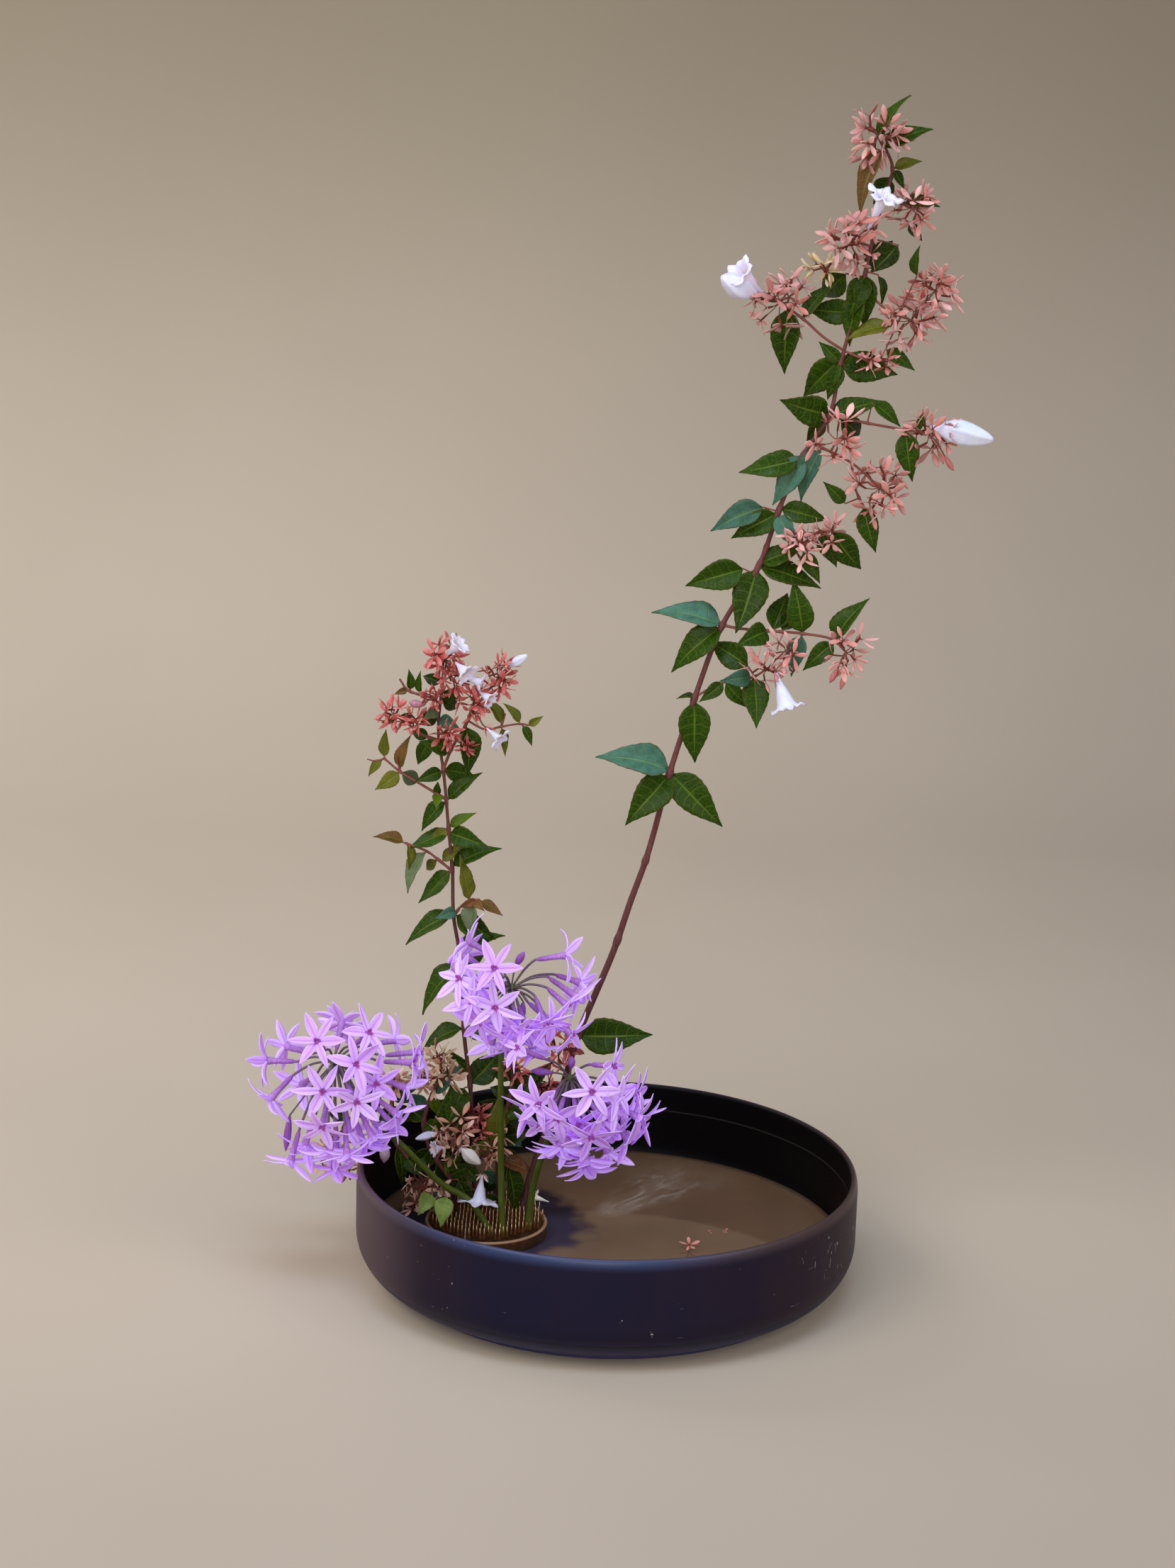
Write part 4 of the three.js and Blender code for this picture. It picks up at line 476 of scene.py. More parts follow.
# Umbels: foot (x, y) of the scape and its path up to the hub; florets as the mouth and, where the
# floret doesn't point straight from the hub, the foot of its tube; buds as tip and base. The more
# florets that fill an umbel are (x, z, 1 on the side of the eye or -1), at UMBEL_RADIUS.
UMBELS = {
    "left": {
        "foot": (-69, 14),
        "scape": [
            (-83.5, 32, 18), (-100.5, 42.5, 25), (-125.5, 67.2, 36), (-142, 83, 42),
            (-166.8, 119.4, 50),
        ],
        "florets": [
            ((-177.2, 131.6, 90), None), ((-153.8, 117.8, 96), None), ((-153.2, 94, 94), None),
            ((-173.6, 100.2, 90), None), ((-205, 94.7, 62), (-192.5, 108.7, 60)),
            ((-207, 118.5, 50), (-190.8, 118.5, 50)), ((-192.8, 54.8, 62), (-188, 73.5, 62)),
            ((-173.7, 77.5, 86), None), ((-169, 62, 62), (-170, 78, 62)),
            ((-158.5, 59.8, 78), (-160, 78, 74)), ((-143.5, 72, 70), (-150, 86, 68)),
            ((-129, 87, 68), (-143, 98, 64)), ((-120, 120, 56), (-137, 120, 54)),
            ((-130.5, 134, 28), (-146, 130, 34)), ((-162.5, 144, 32), None),
        ],
        "buds": [((-196, 60.5, 50), (-193.5, 84, 52))],
        "more": [
            (-163, 139, -1), (-146, 138, 1), (-116, 127, 1), (-124, 104, 1), (-130, 79, 1),
            (-196, 128, -1), (-140, 78, 1), (-157, 75, 1), (-184, 66, 1), (-148, 66, 1),
            (-166, 50, 1), (-142, 106, 1), (-165, 60, 1), (-186, 104, -1),
        ],
    },
    "middle": {
        "foot": (-62.5, 14),
        "scape": [
            (-64, 40, 18), (-65, 70, 22), (-65.8, 101, 27), (-65.5, 135, 33), (-60.8, 168.9, 40),
        ],
        "florets": [
            ((-71.1, 180.9, 80), None), ((-70.1, 156.6, 80), None), ((-80, 169.9, 66), None),
            ((-93, 174, 46), (-77, 176, 44)), ((-85.9, 197, 30), (-73.8, 190, 34)),
            ((-84.6, 152, 52), (-73, 160, 46)), ((-57.5, 143.7, 74), (-59, 157, 62)),
            ((-39.6, 147, 68), (-46, 163, 58)), ((-24, 141, 62), (-37, 150, 56)),
            ((-27.2, 159.3, 50), (-38.5, 169, 46)), ((-22, 165, 34), (-38, 176, 36)),
            ((-20.3, 174, 22), (-34, 178, 28)), ((-29.2, 190.5, 36), (-45.3, 187.5, 38)),
        ],
        "buds": [((-53.5, 192, 44), (-58.8, 182.8, 42)), ((-54.6, 148.4, 46), (-53.4, 160.6, 44))],
        "more": [
            (-92, 174, 1), (-79, 147, 1), (-47, 131, 1), (-61, 130, 1), (-37, 149, 1),
            (-84, 160, 1), (-88, 188, -1), (-66, 143, 1), (-50, 142, 1), (-72, 134, -1),
        ],
    },
    "right": {
        "foot": (-47, 21),
        "scape": [(-44.5, 43, 20), (-38.3, 67, 34), (-31, 90, 46), (-23.9, 112.6, 60)],
        "florets": [
            ((-10.7, 104.8, 102), None), ((1.9, 121.5, 76), (-11, 122, 70)), ((4, 97, 88), None),
            ((16.4, 103.9, 70), (4, 108, 68)), ((17.4, 89.4, 78), None),
            ((-10.4, 75.8, 94), None), ((-12.8, 60.9, 76), (-13.5, 76, 74)),
            ((-30.9, 87.1, 94), None), ((-48.8, 92.3, 70), (-34.7, 98.6, 68)),
            ((-22, 75.8, 82), (-21, 90, 76)), ((-28, 69.2, 62), (-26, 86, 62)),
            ((3, 78, 72), None), ((-55.6, 131, 80), (-40, 125, 72)),
        ],
        "buds": [((-23.2, 127, 60), (-23.6, 119, 60)), ((-48, 117, 50), (-34.3, 116.1, 54))],
        "more": [
            (5, 105, 1), (20, 88, 1), (-32, 66, 1), (0, 66, 1), (-41, 82, 1), (-24, 71, 1),
            (12, 75, 1), (-13, 56, 1), (-3, 88, 1), (-18, 84, 1), (-42, 96, 1), (8, 92, -1),
        ],
    },
}


def spot(x, z, toward=0):
    """The place seen at x, z (mm) on the upright plane, brought `toward` mm nearer the eye."""
    on_plane = Vector((x * MM, PLANE_Y, z * MM))
    return on_plane.lerp(EYE, toward * MM / (PLANE_Y - EYE.y))


class Number:
    """A number in a node tree; working with it in Python adds Math nodes."""

    def __init__(self, tree, socket):
        self.tree = tree
        self.socket = socket

    def __add__(self, other):
        return self.tree.math("ADD", self, other)

    def __radd__(self, other):
        return self.tree.math("ADD", other, self)

    def __sub__(self, other):
        return self.tree.math("SUBTRACT", self, other)

    def __rsub__(self, other):
        return self.tree.math("SUBTRACT", other, self)

    def __neg__(self):
        return 0 - self

    def __mul__(self, other):
        return self.tree.math("MULTIPLY", self, other)

    def __rmul__(self, other):
        return self.tree.math("MULTIPLY", other, self)

    def __truediv__(self, other):
        return self.tree.math("DIVIDE", self, other)

    def __pow__(self, other):
        return self.tree.math("POWER", self, other)

    def __mod__(self, other):
        return self.tree.math("FLOORED_MODULO", self, other)

    def __gt__(self, other):
        return self.tree.math("GREATER_THAN", self, other)

    def __abs__(self):
        return self.tree.math("ABSOLUTE", self)

    def smooth(self, low, high):
        """0 below `low`, 1 above `high` and an even turn between them."""
        settings = {"interpolation_type": "SMOOTHSTEP"}
        inputs = {"Value": self, "From Min": low, "From Max": high}
        return self.tree.number("ShaderNodeMapRange", settings, inputs, "Result")


class Tree:
    """A node tree in which every node is made by `node`."""

    def __init__(self, tree):
        self.tree = tree

    def node(self, kind, settings=None, inputs=None):
        made = self.tree.nodes.new(kind)
        for name, value in (settings or {}).items():
            if name == "stops":
                self.set_stops(made.color_ramp, value)
            else:
                setattr(made, name, value)
        for name, value in (inputs or {}).items():
            self.plug(made.inputs[name], value)
        return made

    def plug(self, socket, value):
        if isinstance(value, Number):
            self.tree.links.new(value.socket, socket)
        elif isinstance(value, bpy.types.NodeSocket):
            self.tree.links.new(value, socket)
        elif socket.type == "RGBA":
            socket.default_value = (*value[:3], 1)
        else:
            socket.default_value = value

    def out(self, kind, settings=None, inputs=None, output=0):
        return self.node(kind, settings, inputs).outputs[output]

    def number(self, kind, settings=None, inputs=None, output=0):
        return Number(self, self.out(kind, settings, inputs, output))

    def math(self, operation, *values):
        return self.number("ShaderNodeMath", {"operation": operation}, dict(enumerate(values)))

    def split(self, vector):
        """The three numbers of a vector."""
        sockets = self.node("ShaderNodeSeparateXYZ", None, {0: vector}).outputs
        return tuple(Number(self, socket) for socket in sockets)

    def point(self, x=0, y=0, z=0):
        return self.out("ShaderNodeCombineXYZ", None, {0: x, 1: y, 2: z})

    @staticmethod
    def set_stops(ramp, stops):
        while len(ramp.elements) > 1:
            ramp.elements.remove(ramp.elements[-1])
        for index, (place, colour) in enumerate(stops):
            element = ramp.elements[0] if index == 0 else ramp.elements.new(place)
            element.position = place
            element.color = (*colour, 1)


class Finish(Tree):
    """A material on one Principled surface, whose constants are set on the shader itself."""

    def __init__(self, name, **constants):
        self.material = bpy.data.materials.new(name)
        self.material.use_nodes = True
        super().__init__(self.material.node_tree)
        self.tree.nodes.clear()
        self.surface = self.node("ShaderNodeBsdfPrincipled")
        for socket in self.surface.inputs:
            word = socket.name.lower().replace(" ", "_")
            if word in constants:
                socket.default_value = constants[word]
        self.node("ShaderNodeOutputMaterial", None, {"Surface": self.surface.outputs[0]})
        self.place = self.out("ShaderNodeTexCoord", output="Object")
        self.x, self.y, self.z = self.split(self.place)

    def feed(self, socket, value):
        self.plug(self.surface.inputs[socket], value)

    def mix(self, share, low, high):
        """The colour `low`, turned to `high` by the share."""
        inputs = {0: share, 6: low, 7: high}
        return self.out("ShaderNodeMix", {"data_type": "RGBA"}, inputs, 2)

    def noise(self, scale, detail=3, roughness=0.5, place=None, distortion=0):
        inputs = {
            "Vector": place or self.place,
            "Scale": scale,
            "Detail": detail,
            "Roughness": roughness,
            "Distortion": distortion,
        }
        return self.number("ShaderNodeTexNoise", None, inputs)

    def stretched(self, *scale, turn=0):
        """Places for a pattern whose grains are as long as `scale`, in metres."""
        inputs = {"Vector": self.place, "Rotation": (0, 0, turn), "Scale": scale}
        return self.out("ShaderNodeMapping", {"vector_type": "TEXTURE"}, inputs)

    def ring(self, x=0, y=0):
        """Distance from an upright axis."""
        return ((self.x - x) ** 2 + (self.y - y) ** 2) ** 0.5

    def tint(self):
        return self.out("ShaderNodeAttribute", {"attribute_name": "tint"}, None, "Color")

    def blade(self):
        """Place on a blade: -1 to 1 across it, 0 to 1 along it, and 1 or 2 for its two faces."""
        named = {"attribute_name": "blade"}
        return self.split(self.out("ShaderNodeAttribute", named, None, "Vector"))

    def bump(self, height, distance, strength):
        inputs = {"Height": height, "Distance": distance, "Strength": strength}
        self.feed("Normal", self.out("ShaderNodeBump", None, inputs))


def leaf_finish():
    finish = Finish("abelia_leaf", specular_ior_level=0.08, coat_weight=0.08, coat_roughness=0.16)
    across, along, face = finish.blade()
    side = abs(across)
    pairs_of_veins = 7
    swept = along - side * side * 0.12
    between = abs((swept * pairs_of_veins) % 1 - 0.5) * 2
    cells = {"Vector": finish.place, "Scale": 480, "Randomness": 1}
    edges = {"feature": "DISTANCE_TO_EDGE"}
    net = finish.number("ShaderNodeTexVoronoi", edges, cells, "Distance")
    vein = (1 - between.smooth(0, 0.16)) * (1 - side.smooth(0.75, 1)) * 0.8
    midrib = 1 - side.smooth(0.03, 0.1)
    fine = (1 - net.smooth(0, 0.12)) * 0.35
    drawn = finish.math("MAXIMUM", finish.math("MAXIMUM", vein, midrib), fine)
    mottle = finish.noise(160)
    base = finish.mix(mottle.smooth(0.3, 0.75) * 0.4, finish.tint(), shade(18, 34, 4))
    lit = finish.mix(drawn * 0.28, base, shade(140, 164, 50))
    edge = finish.mix(side.smooth(0.86, 1) * 0.4, lit, shade(108, 88, 28))
    reverse = finish.mix(0.35, edge, shade(128, 152, 84))
    below = face > 1.5
    finish.feed("Base Color", finish.mix(below, edge, reverse))
    finish.feed("Roughness", 0.28 + mottle * 0.14 + below * 0.2)
    finish.bump(-drawn + mottle * 0.3, 0.0004, 0.7)
    return finish.material


def sepal_finish():
    finish = Finish(
        "abelia_sepal", specular_ior_level=0.2, subsurface_weight=0.12, subsurface_scale=0.002
    )
    across, along, _ = finish.blade()
    stripes = finish.noise(1, 2, 0.5, finish.point(across * 9, along * 1.6, finish.z * 300))
    mottle = finish.noise(420, 2)
    deep = finish.mix(0.45, finish.tint(), shade(150, 58, 54))
    pale = finish.mix(0.4, finish.tint(), shade(250, 214, 206))
    body = finish.mix(stripes.smooth(0.35, 0.7) * 0.6, finish.tint(), deep)
    tip = finish.mix(along.smooth(0.35, 1) * 0.55, body, pale)
    base = finish.mix(1 - along.smooth(0, 0.32), tip, shade(120, 52, 40))
    finish.feed("Base Color", base)
    finish.feed("Roughness", 0.5 + mottle * 0.25)
    finish.bump(stripes, 0.0002, 0.6)
    return finish.material


def garlic_finish():
    # The faint glow stands for the light that comes through the thin petals.
    finish = Finish(
        "garlic_petal", specular_ior_level=0.3, subsurface_weight=0.2, subsurface_scale=0.003,
        emission_color=(0.46, 0.12, 1, 1), emission_strength=0.14,
    )
    across, along, _ = finish.blade()
    side = abs(across)
    streaks = finish.noise(1, 2, 0.5, finish.point(across * 7, along * 1.2, finish.y * 60))
    petal = finish.mix(streaks.smooth(0.35, 0.7) * 0.4, finish.tint(), shade(240, 212, 255))
    keel = (1 - side.smooth(0.06, 0.28)) * (1 - along.smooth(0.7, 1))
    ribbed = finish.mix(keel * 0.5, petal, shade(170, 104, 228))
    edge = finish.mix(side.smooth(0.7, 1) * 0.35, ribbed, shade(244, 224, 255))
    throat = 1 - along.smooth(0.02, 0.11)
    finish.feed("Base Color", finish.mix(throat * 0.9, edge, shade(150, 34, 100)))
    finish.feed("Roughness", 0.4 + streaks * 0.2)
    finish.bump(streaks * 0.6 - keel, 0.0003, 0.6)
    return finish.material


def white_finish():
    finish = Finish("abelia_petal", subsurface_weight=0.25, subsurface_scale=0.003)
    _, along, face = finish.blade()
    crinkle = finish.noise(260)
    lilac = finish.mix((1 - along.smooth(0, 0.6)) * 0.35, finish.tint(), shade(222, 200, 238))
    shaded = finish.mix(crinkle.smooth(0.4, 0.75) * 0.3, lilac, shade(208, 200, 230))
    throat = (face > 1.5) * (1 - along.smooth(0.2, 0.8))
    finish.feed("Base Color", finish.mix(throat, shaded, shade(232, 208, 150)))
    finish.feed("Roughness", 0.4 + crinkle * 0.2)
    finish.bump(crinkle, 0.0004, 0.5)
    return finish.material


def bark_finish():
    finish = Finish("abelia_bark", specular_ior_level=0.25)
    grain = finish.noise(1, 4, 0.6, finish.stretched(0.0012, 0.0012, 0.012))
    spots = finish.noise(700, 2)
    worn = finish.mix(grain.smooth(0.35, 0.7) * 0.35, finish.tint(), shade(138, 96, 86))
    dark = finish.mix(spots.smooth(0.6, 0.75) * 0.6, worn, shade(44, 24, 22))
    finish.feed("Base Color", dark)
    finish.feed("Roughness", 0.4 + grain * 0.3)
    finish.bump(grain + spots * 0.5, 0.0005, 0.8)
    return finish.material


def scape_finish():
    finish = Finish("garlic_scape", specular_ior_level=0.3, coat_weight=0.1, coat_roughness=0.25)
    lines = finish.noise(1, 2, 0.5, finish.stretched(0.0008, 0.0008, 0.03))
    bloom = finish.noise(90)
    body = finish.mix(lines.smooth(0.3, 0.7) * 0.4, finish.tint(), shade(50, 64, 12))
    finish.feed("Base Color", finish.mix(bloom.smooth(0.5, 0.8) * 0.16, body, shade(150, 158, 96)))
    finish.feed("Roughness", 0.35 + bloom * 0.25)
    finish.bump(lines, 0.0003, 0.6)
    return finish.material


def glaze_finish(colour):
    """Dark glaze: flecks, scratches and streaks outside, painted reflections of the room on its
    flanks, paler on the left, a dry water mark on the inside, which is painted near black for its
    shade, painted light on the underside, a painted highlight line along the foot, and a glossier
    lip with a painted highlight that is blue in front and brown at the sides."""
    finish = Finish("stoneware_glaze", specular_ior_level=0.1, coat_roughness=0.32)
    cloud = finish.noise(14, 4, 0.55)
    grain = finish.noise(900, 2)
    radius = finish.ring()
    inside = 1 - radius.smooth(0.1462, 0.1466)
    water_mark = finish.z + finish.noise(9, 2) * 0.0016 - 0.0548
    # Mask of a painted highlight line along the edge where the body turns into the foot.
    foot_edge_highlight = 1 - abs(finish.z - 0.0044).smooth(0.0002, 0.0006)

    # Painted reflection: the warm room reflected on the left and right flanks turns the navy
    # maroon; the cloud mixed in with it is the glaze's own uneven tone.
    flank_reflection = abs(finish.x + 0.01).smooth(0.05, 0.15)
    body = finish.mix(cloud.smooth(0.3, 0.7) * 0.4 + flank_reflection * 0.6, colour, shade(42, 26, 36))
    # Painted reflection: the left flank made paler where it reflects the lit room.
    left_reflection = finish.mix((-finish.x).smooth(0.1, 0.15) * 0.5, body, shade(116, 94, 100))
    lip = finish.z.smooth(0.0682, 0.0695)
    worn = finish.mix(lip * (0.1 + cloud * 0.2), left_reflection, shade(84, 62, 60))

    fleck = finish.noise(330, 2).smooth(0.745, 0.77) * finish.noise(26, 2).smooth(0.5, 0.6)
    scratch = finish.noise(1, 2, 0.5, finish.stretched(0.016, 0.016, 0.0011, turn=0.7))
    scratched = scratch.smooth(0.74, 0.76) * finish.noise(40, 1).smooth(0.58, 0.66)
    upright = finish.noise(1, 1, 0.5, finish.stretched(0.0022, 0.0022, 0.009), 1.5)
    streak = upright.smooth(0.68, 0.7) * finish.noise(75, 2).smooth(0.5, 0.56)
    right = finish.x.smooth(0.1, 0.125) * (1 - abs(finish.z - 0.045).smooth(0.012, 0.02))
    marks = finish.math("MINIMUM", fleck + scratched * 0.6 + streak * right * 0.7, 1)
    marked = marks * (1 - inside)
    flecked = finish.mix(marked * 0.7, worn, shade(190, 184, 190))

    # Painted shade: the inside of the bowl is darkened to near black where shade falls in it.
    dark = finish.mix(inside * 0.96, flecked, shade(3, 2, 2))
    line = 1 - abs(water_mark).smooth(0.0002, 0.0007)
    ringed = finish.mix(line * inside * 0.25, dark, shade(84, 78, 70))
    # Painted light: the underside, which faces down into shade, is lightened to a bluish navy
    # towards the foot.
    base = (1 - finish.z.smooth(0.003, 0.022)) * 0.7
    underside_lit = finish.mix(base, ringed, shade(84, 80, 120))
    # Painted highlight: a thin bluish-white line along the edge where the body turns into the foot.
    joint = finish.mix(foot_edge_highlight * (radius > 0.1235) * 0.6, underside_lit, shade(130, 136, 170))
    # Painted highlight on the rolled lip: a bluish band in front where it reflects the sky light
    # and a brownish one at the sides where it reflects the warm room. The extra coat is real gloss.
    rolled = finish.z.smooth(0.0625, 0.0695) * (radius > 0.1476)
    front = 1 - abs(finish.x + 0.03).smooth(0.04, 0.13)
    blue = finish.mix(rolled * front * 0.36, joint, shade(66, 92, 146))
    finish.feed("Base Color", finish.mix(rolled * (1 - front) * 0.4, blue, shade(92, 70, 64)))
    finish.feed("Coat Weight", 0.03 + rolled * 0.45)
    finish.feed("Roughness", 0.34 + cloud * 0.14 + grain * 0.08 + marked * 0.2)
    finish.bump(grain + cloud * 0.6 - marked * 0.5, 0.0002, 0.5)
    return finish.material


def water_finish():
    """Clear brown water under a dusty film that fans out to the back right from its root. Its brown
    is lightened to paint in the reflected backdrop, and round the pin holder it is left almost
    clear, so that the dark bowl floor paints the dark reflections of the plants.
    """
    finish = Finish("still_water", ior=1.8, specular_tint=(1, 0.9, 0.78, 1))
    drift = finish.noise(1, 6, 0.65, finish.stretched(0.045, 0.011, 0.05, turn=0.95), 1.6)
    root_x, root_y = finish.x + 0.008, finish.y - 0.03
    along = root_x * 0.58 + root_y * 0.81
    across = abs(root_x * 0.81 - root_y * 0.58 - 0.004)
    fan = 1 - (across / (0.008 + along * 0.34)).smooth(0.3, 1)
    ends = along.smooth(0, 0.012) * (1 - along.smooth(0.05, 0.125))
    wisps = drift.smooth(0.44, 0.76)
    haze = finish.noise(34, 4).smooth(0.35, 0.75)
    film = fan * ends * (wisps * 0.5 + haze * 0.26)
    # Painted reflection: near the pin holder the water is left almost clear, so the dark floor of
    # the bowl shows as a ragged dark patch that stands for the plants' dark reflections; further
    # out the water is murky.
    holder = finish.ring(-0.07, 0.012)
    murk_round_dark_reflection = (holder + finish.noise(55) * 0.036).smooth(0.066, 0.084)
    dust = finish.noise(1500, 2).smooth(0.7, 0.74) * finish.noise(30, 2).smooth(0.45, 0.62)
    scum = finish.noise(28, 4)
    # The water's own brown, made light enough to also paint in the reflection of the pale backdrop.
    body = finish.mix(scum.smooth(0.3, 0.7) * 0.5, shade(120, 90, 64), shade(134, 104, 76))
    filmed = finish.mix(film, body, shade(196, 184, 172))
    finish.feed("Base Color", finish.mix(dust * 0.35, filmed, shade(200, 190, 176)))
    finish.feed("Roughness", 0.04 + film * 0.35 + scum * 0.03)
    surface = finish.z.smooth(0.0235, 0.0245)
    finish.feed("Alpha", surface * (0.08 + murk_round_dark_reflection * 0.66 + film * 0.2 + dust * 0.2))
    finish.bump(finish.noise(22, 2), 0.0005, 0.2)
    return finish.material


def brass_finish():
    """Stained brass, dark between the pins, with painted shade low on the pins and a painted
    highlight on their tips, and bright round the rim.
    """
    finish = Finish("holder_brass")
    stain = finish.noise(240)
    radius = finish.ring(HOLDER_X * MM, HOLDER_Y * MM)
    rim = radius.smooth(0.0352, 0.0358) * finish.z.smooth(0.0172, 0.0178)
    # Painted light and shade: the pins go from the dark plate colour low down to amber and to a
    # bright painted highlight at their tips, where they also look less metallic.
    tips = finish.z.smooth(0.0215, 0.0258)
    plate = finish.mix(stain.smooth(0.35, 0.7), shade(104, 58, 18), shade(56, 32, 12))
    shaded_shafts = finish.mix(finish.z.smooth(0.0182, 0.0205), plate, shade(142, 80, 28))
    pins = finish.mix(tips, shaded_shafts, shade(255, 218, 162))
    finish.feed("Base Color", finish.mix(rim * 0.9, pins, shade(190, 152, 118)))
    finish.feed("Metallic", 0.6 - tips * 0.3 - rim * 0.5)
    finish.feed("Roughness", 0.3 + stain * 0.25 + rim * 0.25)
    finish.bump(stain, 0.0002, 0.5)
    return finish.material


def ground_finish(colour):
    finish = Finish("studio_floor", roughness=0.9, specular_ior_level=0.15)
    cloud = finish.noise(3, 2)
    dark = tuple(value * 0.96 for value in colour)
    even = finish.mix(cloud.smooth(0.3, 0.7), colour, dark)
    # Painted light and shade: the backdrop darkens higher up, and the stage towards the right and
    # towards the front, as the light falls off; the cloud above is the backdrop's own uneven tone.
    high = finish.mix(finish.z.smooth(0, 0.85) * 0.8, even, shade(140, 128, 106))
    right = finish.mix(finish.x.smooth(-0.3, 0.9) * 0.3, high, shade(110, 98, 86))
    near = finish.mix((-finish.y).smooth(-0.1, 0.5) * 0.35, right, shade(141, 127, 119))
    finish.feed("Base Color", near)
    finish.bump(finish.noise(300, 2), 0.0002, 0.2)
    return finish.material


def mesh_of(name, points, faces, values):
    """A mesh of points and faces, with a vector per point under each name in `values`."""
    mesh = bpy.data.meshes.new(name)
    mesh.from_pydata([tuple(point) for point in points], [], faces)
    for word, rows in values.items():
        layer = mesh.attributes.new(word, "FLOAT_VECTOR", "POINT")
        layer.data.foreach_set("vector", np.asarray(rows, np.float32).ravel())
    mesh.polygons.foreach_set("use_smooth", [True] * len(mesh.polygons))
    mesh.update()
    return mesh


def quads(rows, columns, spans):
    """Faces of a grid of points, `spans` across: as many as columns where it closes on itself."""
    cells = [
        (row * columns + k, row * columns + (k + 1) % columns)
        for row in range(rows - 1)
        for k in range(spans)
    ]
    return [(a, b, b + columns, a + columns) for a, b in cells]


def sheet(grid, thickness, wrapped=False):
    """Points, faces and blade places of a thin closed sheet on a grid of points."""
    grid = np.asarray(grid, float)
    rows, columns = grid.shape[:2]
    down = np.gradient(grid, axis=0)
    if wrapped:
        over = (np.roll(grid, -1, axis=1) - np.roll(grid, 1, axis=1)) / 2
    else:
        over = np.gradient(grid, axis=1)
    normal = np.cross(over, down)
    normal /= np.linalg.norm(normal, axis=2, keepdims=True) + 1e-12
    upper = (grid + normal * thickness / 2).reshape(-1, 3)
    lower = (grid - normal * thickness / 2).reshape(-1, 3)
    count = rows * columns
    spans = columns if wrapped else columns - 1
    faces = quads(rows, columns, spans)
    faces += [(d + count, c + count, b + count, a + count) for a, b, c, d in faces]
    rim = [(k, (k + 1) % columns) for k in range(spans)]
    last = (rows - 1) * columns
    edges = [(b, a) for a, b in rim] + [(a + last, b + last) for a, b in rim]
    if not wrapped:
        sides = [i * columns for i in range(rows - 1)]
        edges += [(i, i + columns) for i in sides]
        edges += [(i + 2 * columns - 1, i + columns - 1) for i in sides]
    faces += [(b, a, a + count, b + count) for a, b in edges]
    u, v = np.meshgrid(np.linspace(-1, 1, columns), np.linspace(0, 1, rows))
    flat = np.stack([u, v, np.ones_like(u)], 2).reshape(-1, 3)
    back = flat + (0, 0, 1)
    return np.vstack([upper, lower]), faces, np.vstack([flat, back])


def joined(sheets):
    """Several (points, faces, places) as one."""
    points, faces, places = [], [], []
    start = 0
    for some_points, some_faces, some_places in sheets:
        points.append(some_points)
        places.append(some_places)
        faces += [tuple(index + start for index in face) for face in some_faces]
        start += len(some_points)
    return np.vstack(points), faces, np.vstack(places)


def tidy(mesh, distance=1e-5):
    """Merges the points where a sheet runs to a tip and turns every face out."""
    work = bmesh.new()
    work.from_mesh(mesh)
    bmesh.ops.remove_doubles(work, verts=work.verts, dist=distance)
    bmesh.ops.dissolve_degenerate(work, edges=work.edges, dist=distance / 2)
    bmesh.ops.recalc_face_normals(work, faces=work.faces)
    work.to_mesh(mesh)
    work.free()
    return mesh


def shapes_of(name, parts):
    """A hidden collection of shape objects to place copies of, in their order."""
    collection = bpy.data.collections.new(name)
    for index, (points, faces, places) in enumerate(parts):
        mesh = tidy(mesh_of(f"{name}_{index:02d}", points, faces, {"blade": places}), 1e-4)
        collection.objects.link(bpy.data.objects.new(mesh.name, mesh))
    return collection


def width_at(t, outline):
    """Width of an outline at places along it, 0 to 1."""
    return np.interp(t, *zip(*outline))


# Outlines of blades: (place along, width), each at most 1.
LEAF_OUTLINE = [
    (0, 0.05), (0.04, 0.2), (0.09, 0.46), (0.15, 0.7), (0.23, 0.89), (0.32, 0.99), (0.4, 1),
    (0.5, 0.93), (0.6, 0.8), (0.7, 0.61), (0.8, 0.39), (0.88, 0.22), (0.95, 0.1), (1, 0.012),
]
SEPAL_OUTLINE = [
    (0, 0.14), (0.2, 0.32), (0.42, 0.8), (0.6, 1), (0.78, 0.88), (0.92, 0.5), (1, 0.1),
]
TEPAL_OUTLINE = [
    (0, 0.5), (0.2, 0.8), (0.4, 1), (0.6, 0.94), (0.78, 0.66), (0.92, 0.3), (1, 0.04),
]
THREAD_OUTLINE = [(0, 1), (0.8, 1), (1, 1.8)]

# Profiles of round parts: (radius, height) of ovary and funnels, (place along, radius) of bud and
# tube, and (place below the hub, radius) of the knob. Tube and knob are in millimetres.
OVARY_PROFILE = [(0.02, -0.55), (0.05, -0.5), (0.065, -0.2), (0.05, 0.02), (0.01, 0.05)]
FUNNEL_PROFILE = [
    (0.1, -1), (0.12, -0.9), (0.15, -0.78), (0.23, -0.64), (0.34, -0.5), (0.44, -0.35),
    (0.52, -0.2), (0.58, -0.08),
]
FURLED_PROFILE = [
    (0.15, -1), (0.2, -0.93), (0.4, -0.85), (0.7, -0.75), (0.92, -0.64), (1, -0.52),
    (0.9, -0.38), (0.72, -0.25), (0.5, -0.13), (0.26, -0.05), (0.05, 0),
]
BUD_PROFILE = [
    (0.08, 0.4), (0.22, 0.72), (0.42, 0.95), (0.62, 1), (0.8, 0.72), (0.93, 0.35), (1, 0.08),
]
TUBE_PROFILE = [
    (0.06, 1.3), (0.2, 1.55), (0.4, 1.6), (0.6, 1.65), (0.8, 1.95), (0.93, 2.3), (1, 2.5),
]
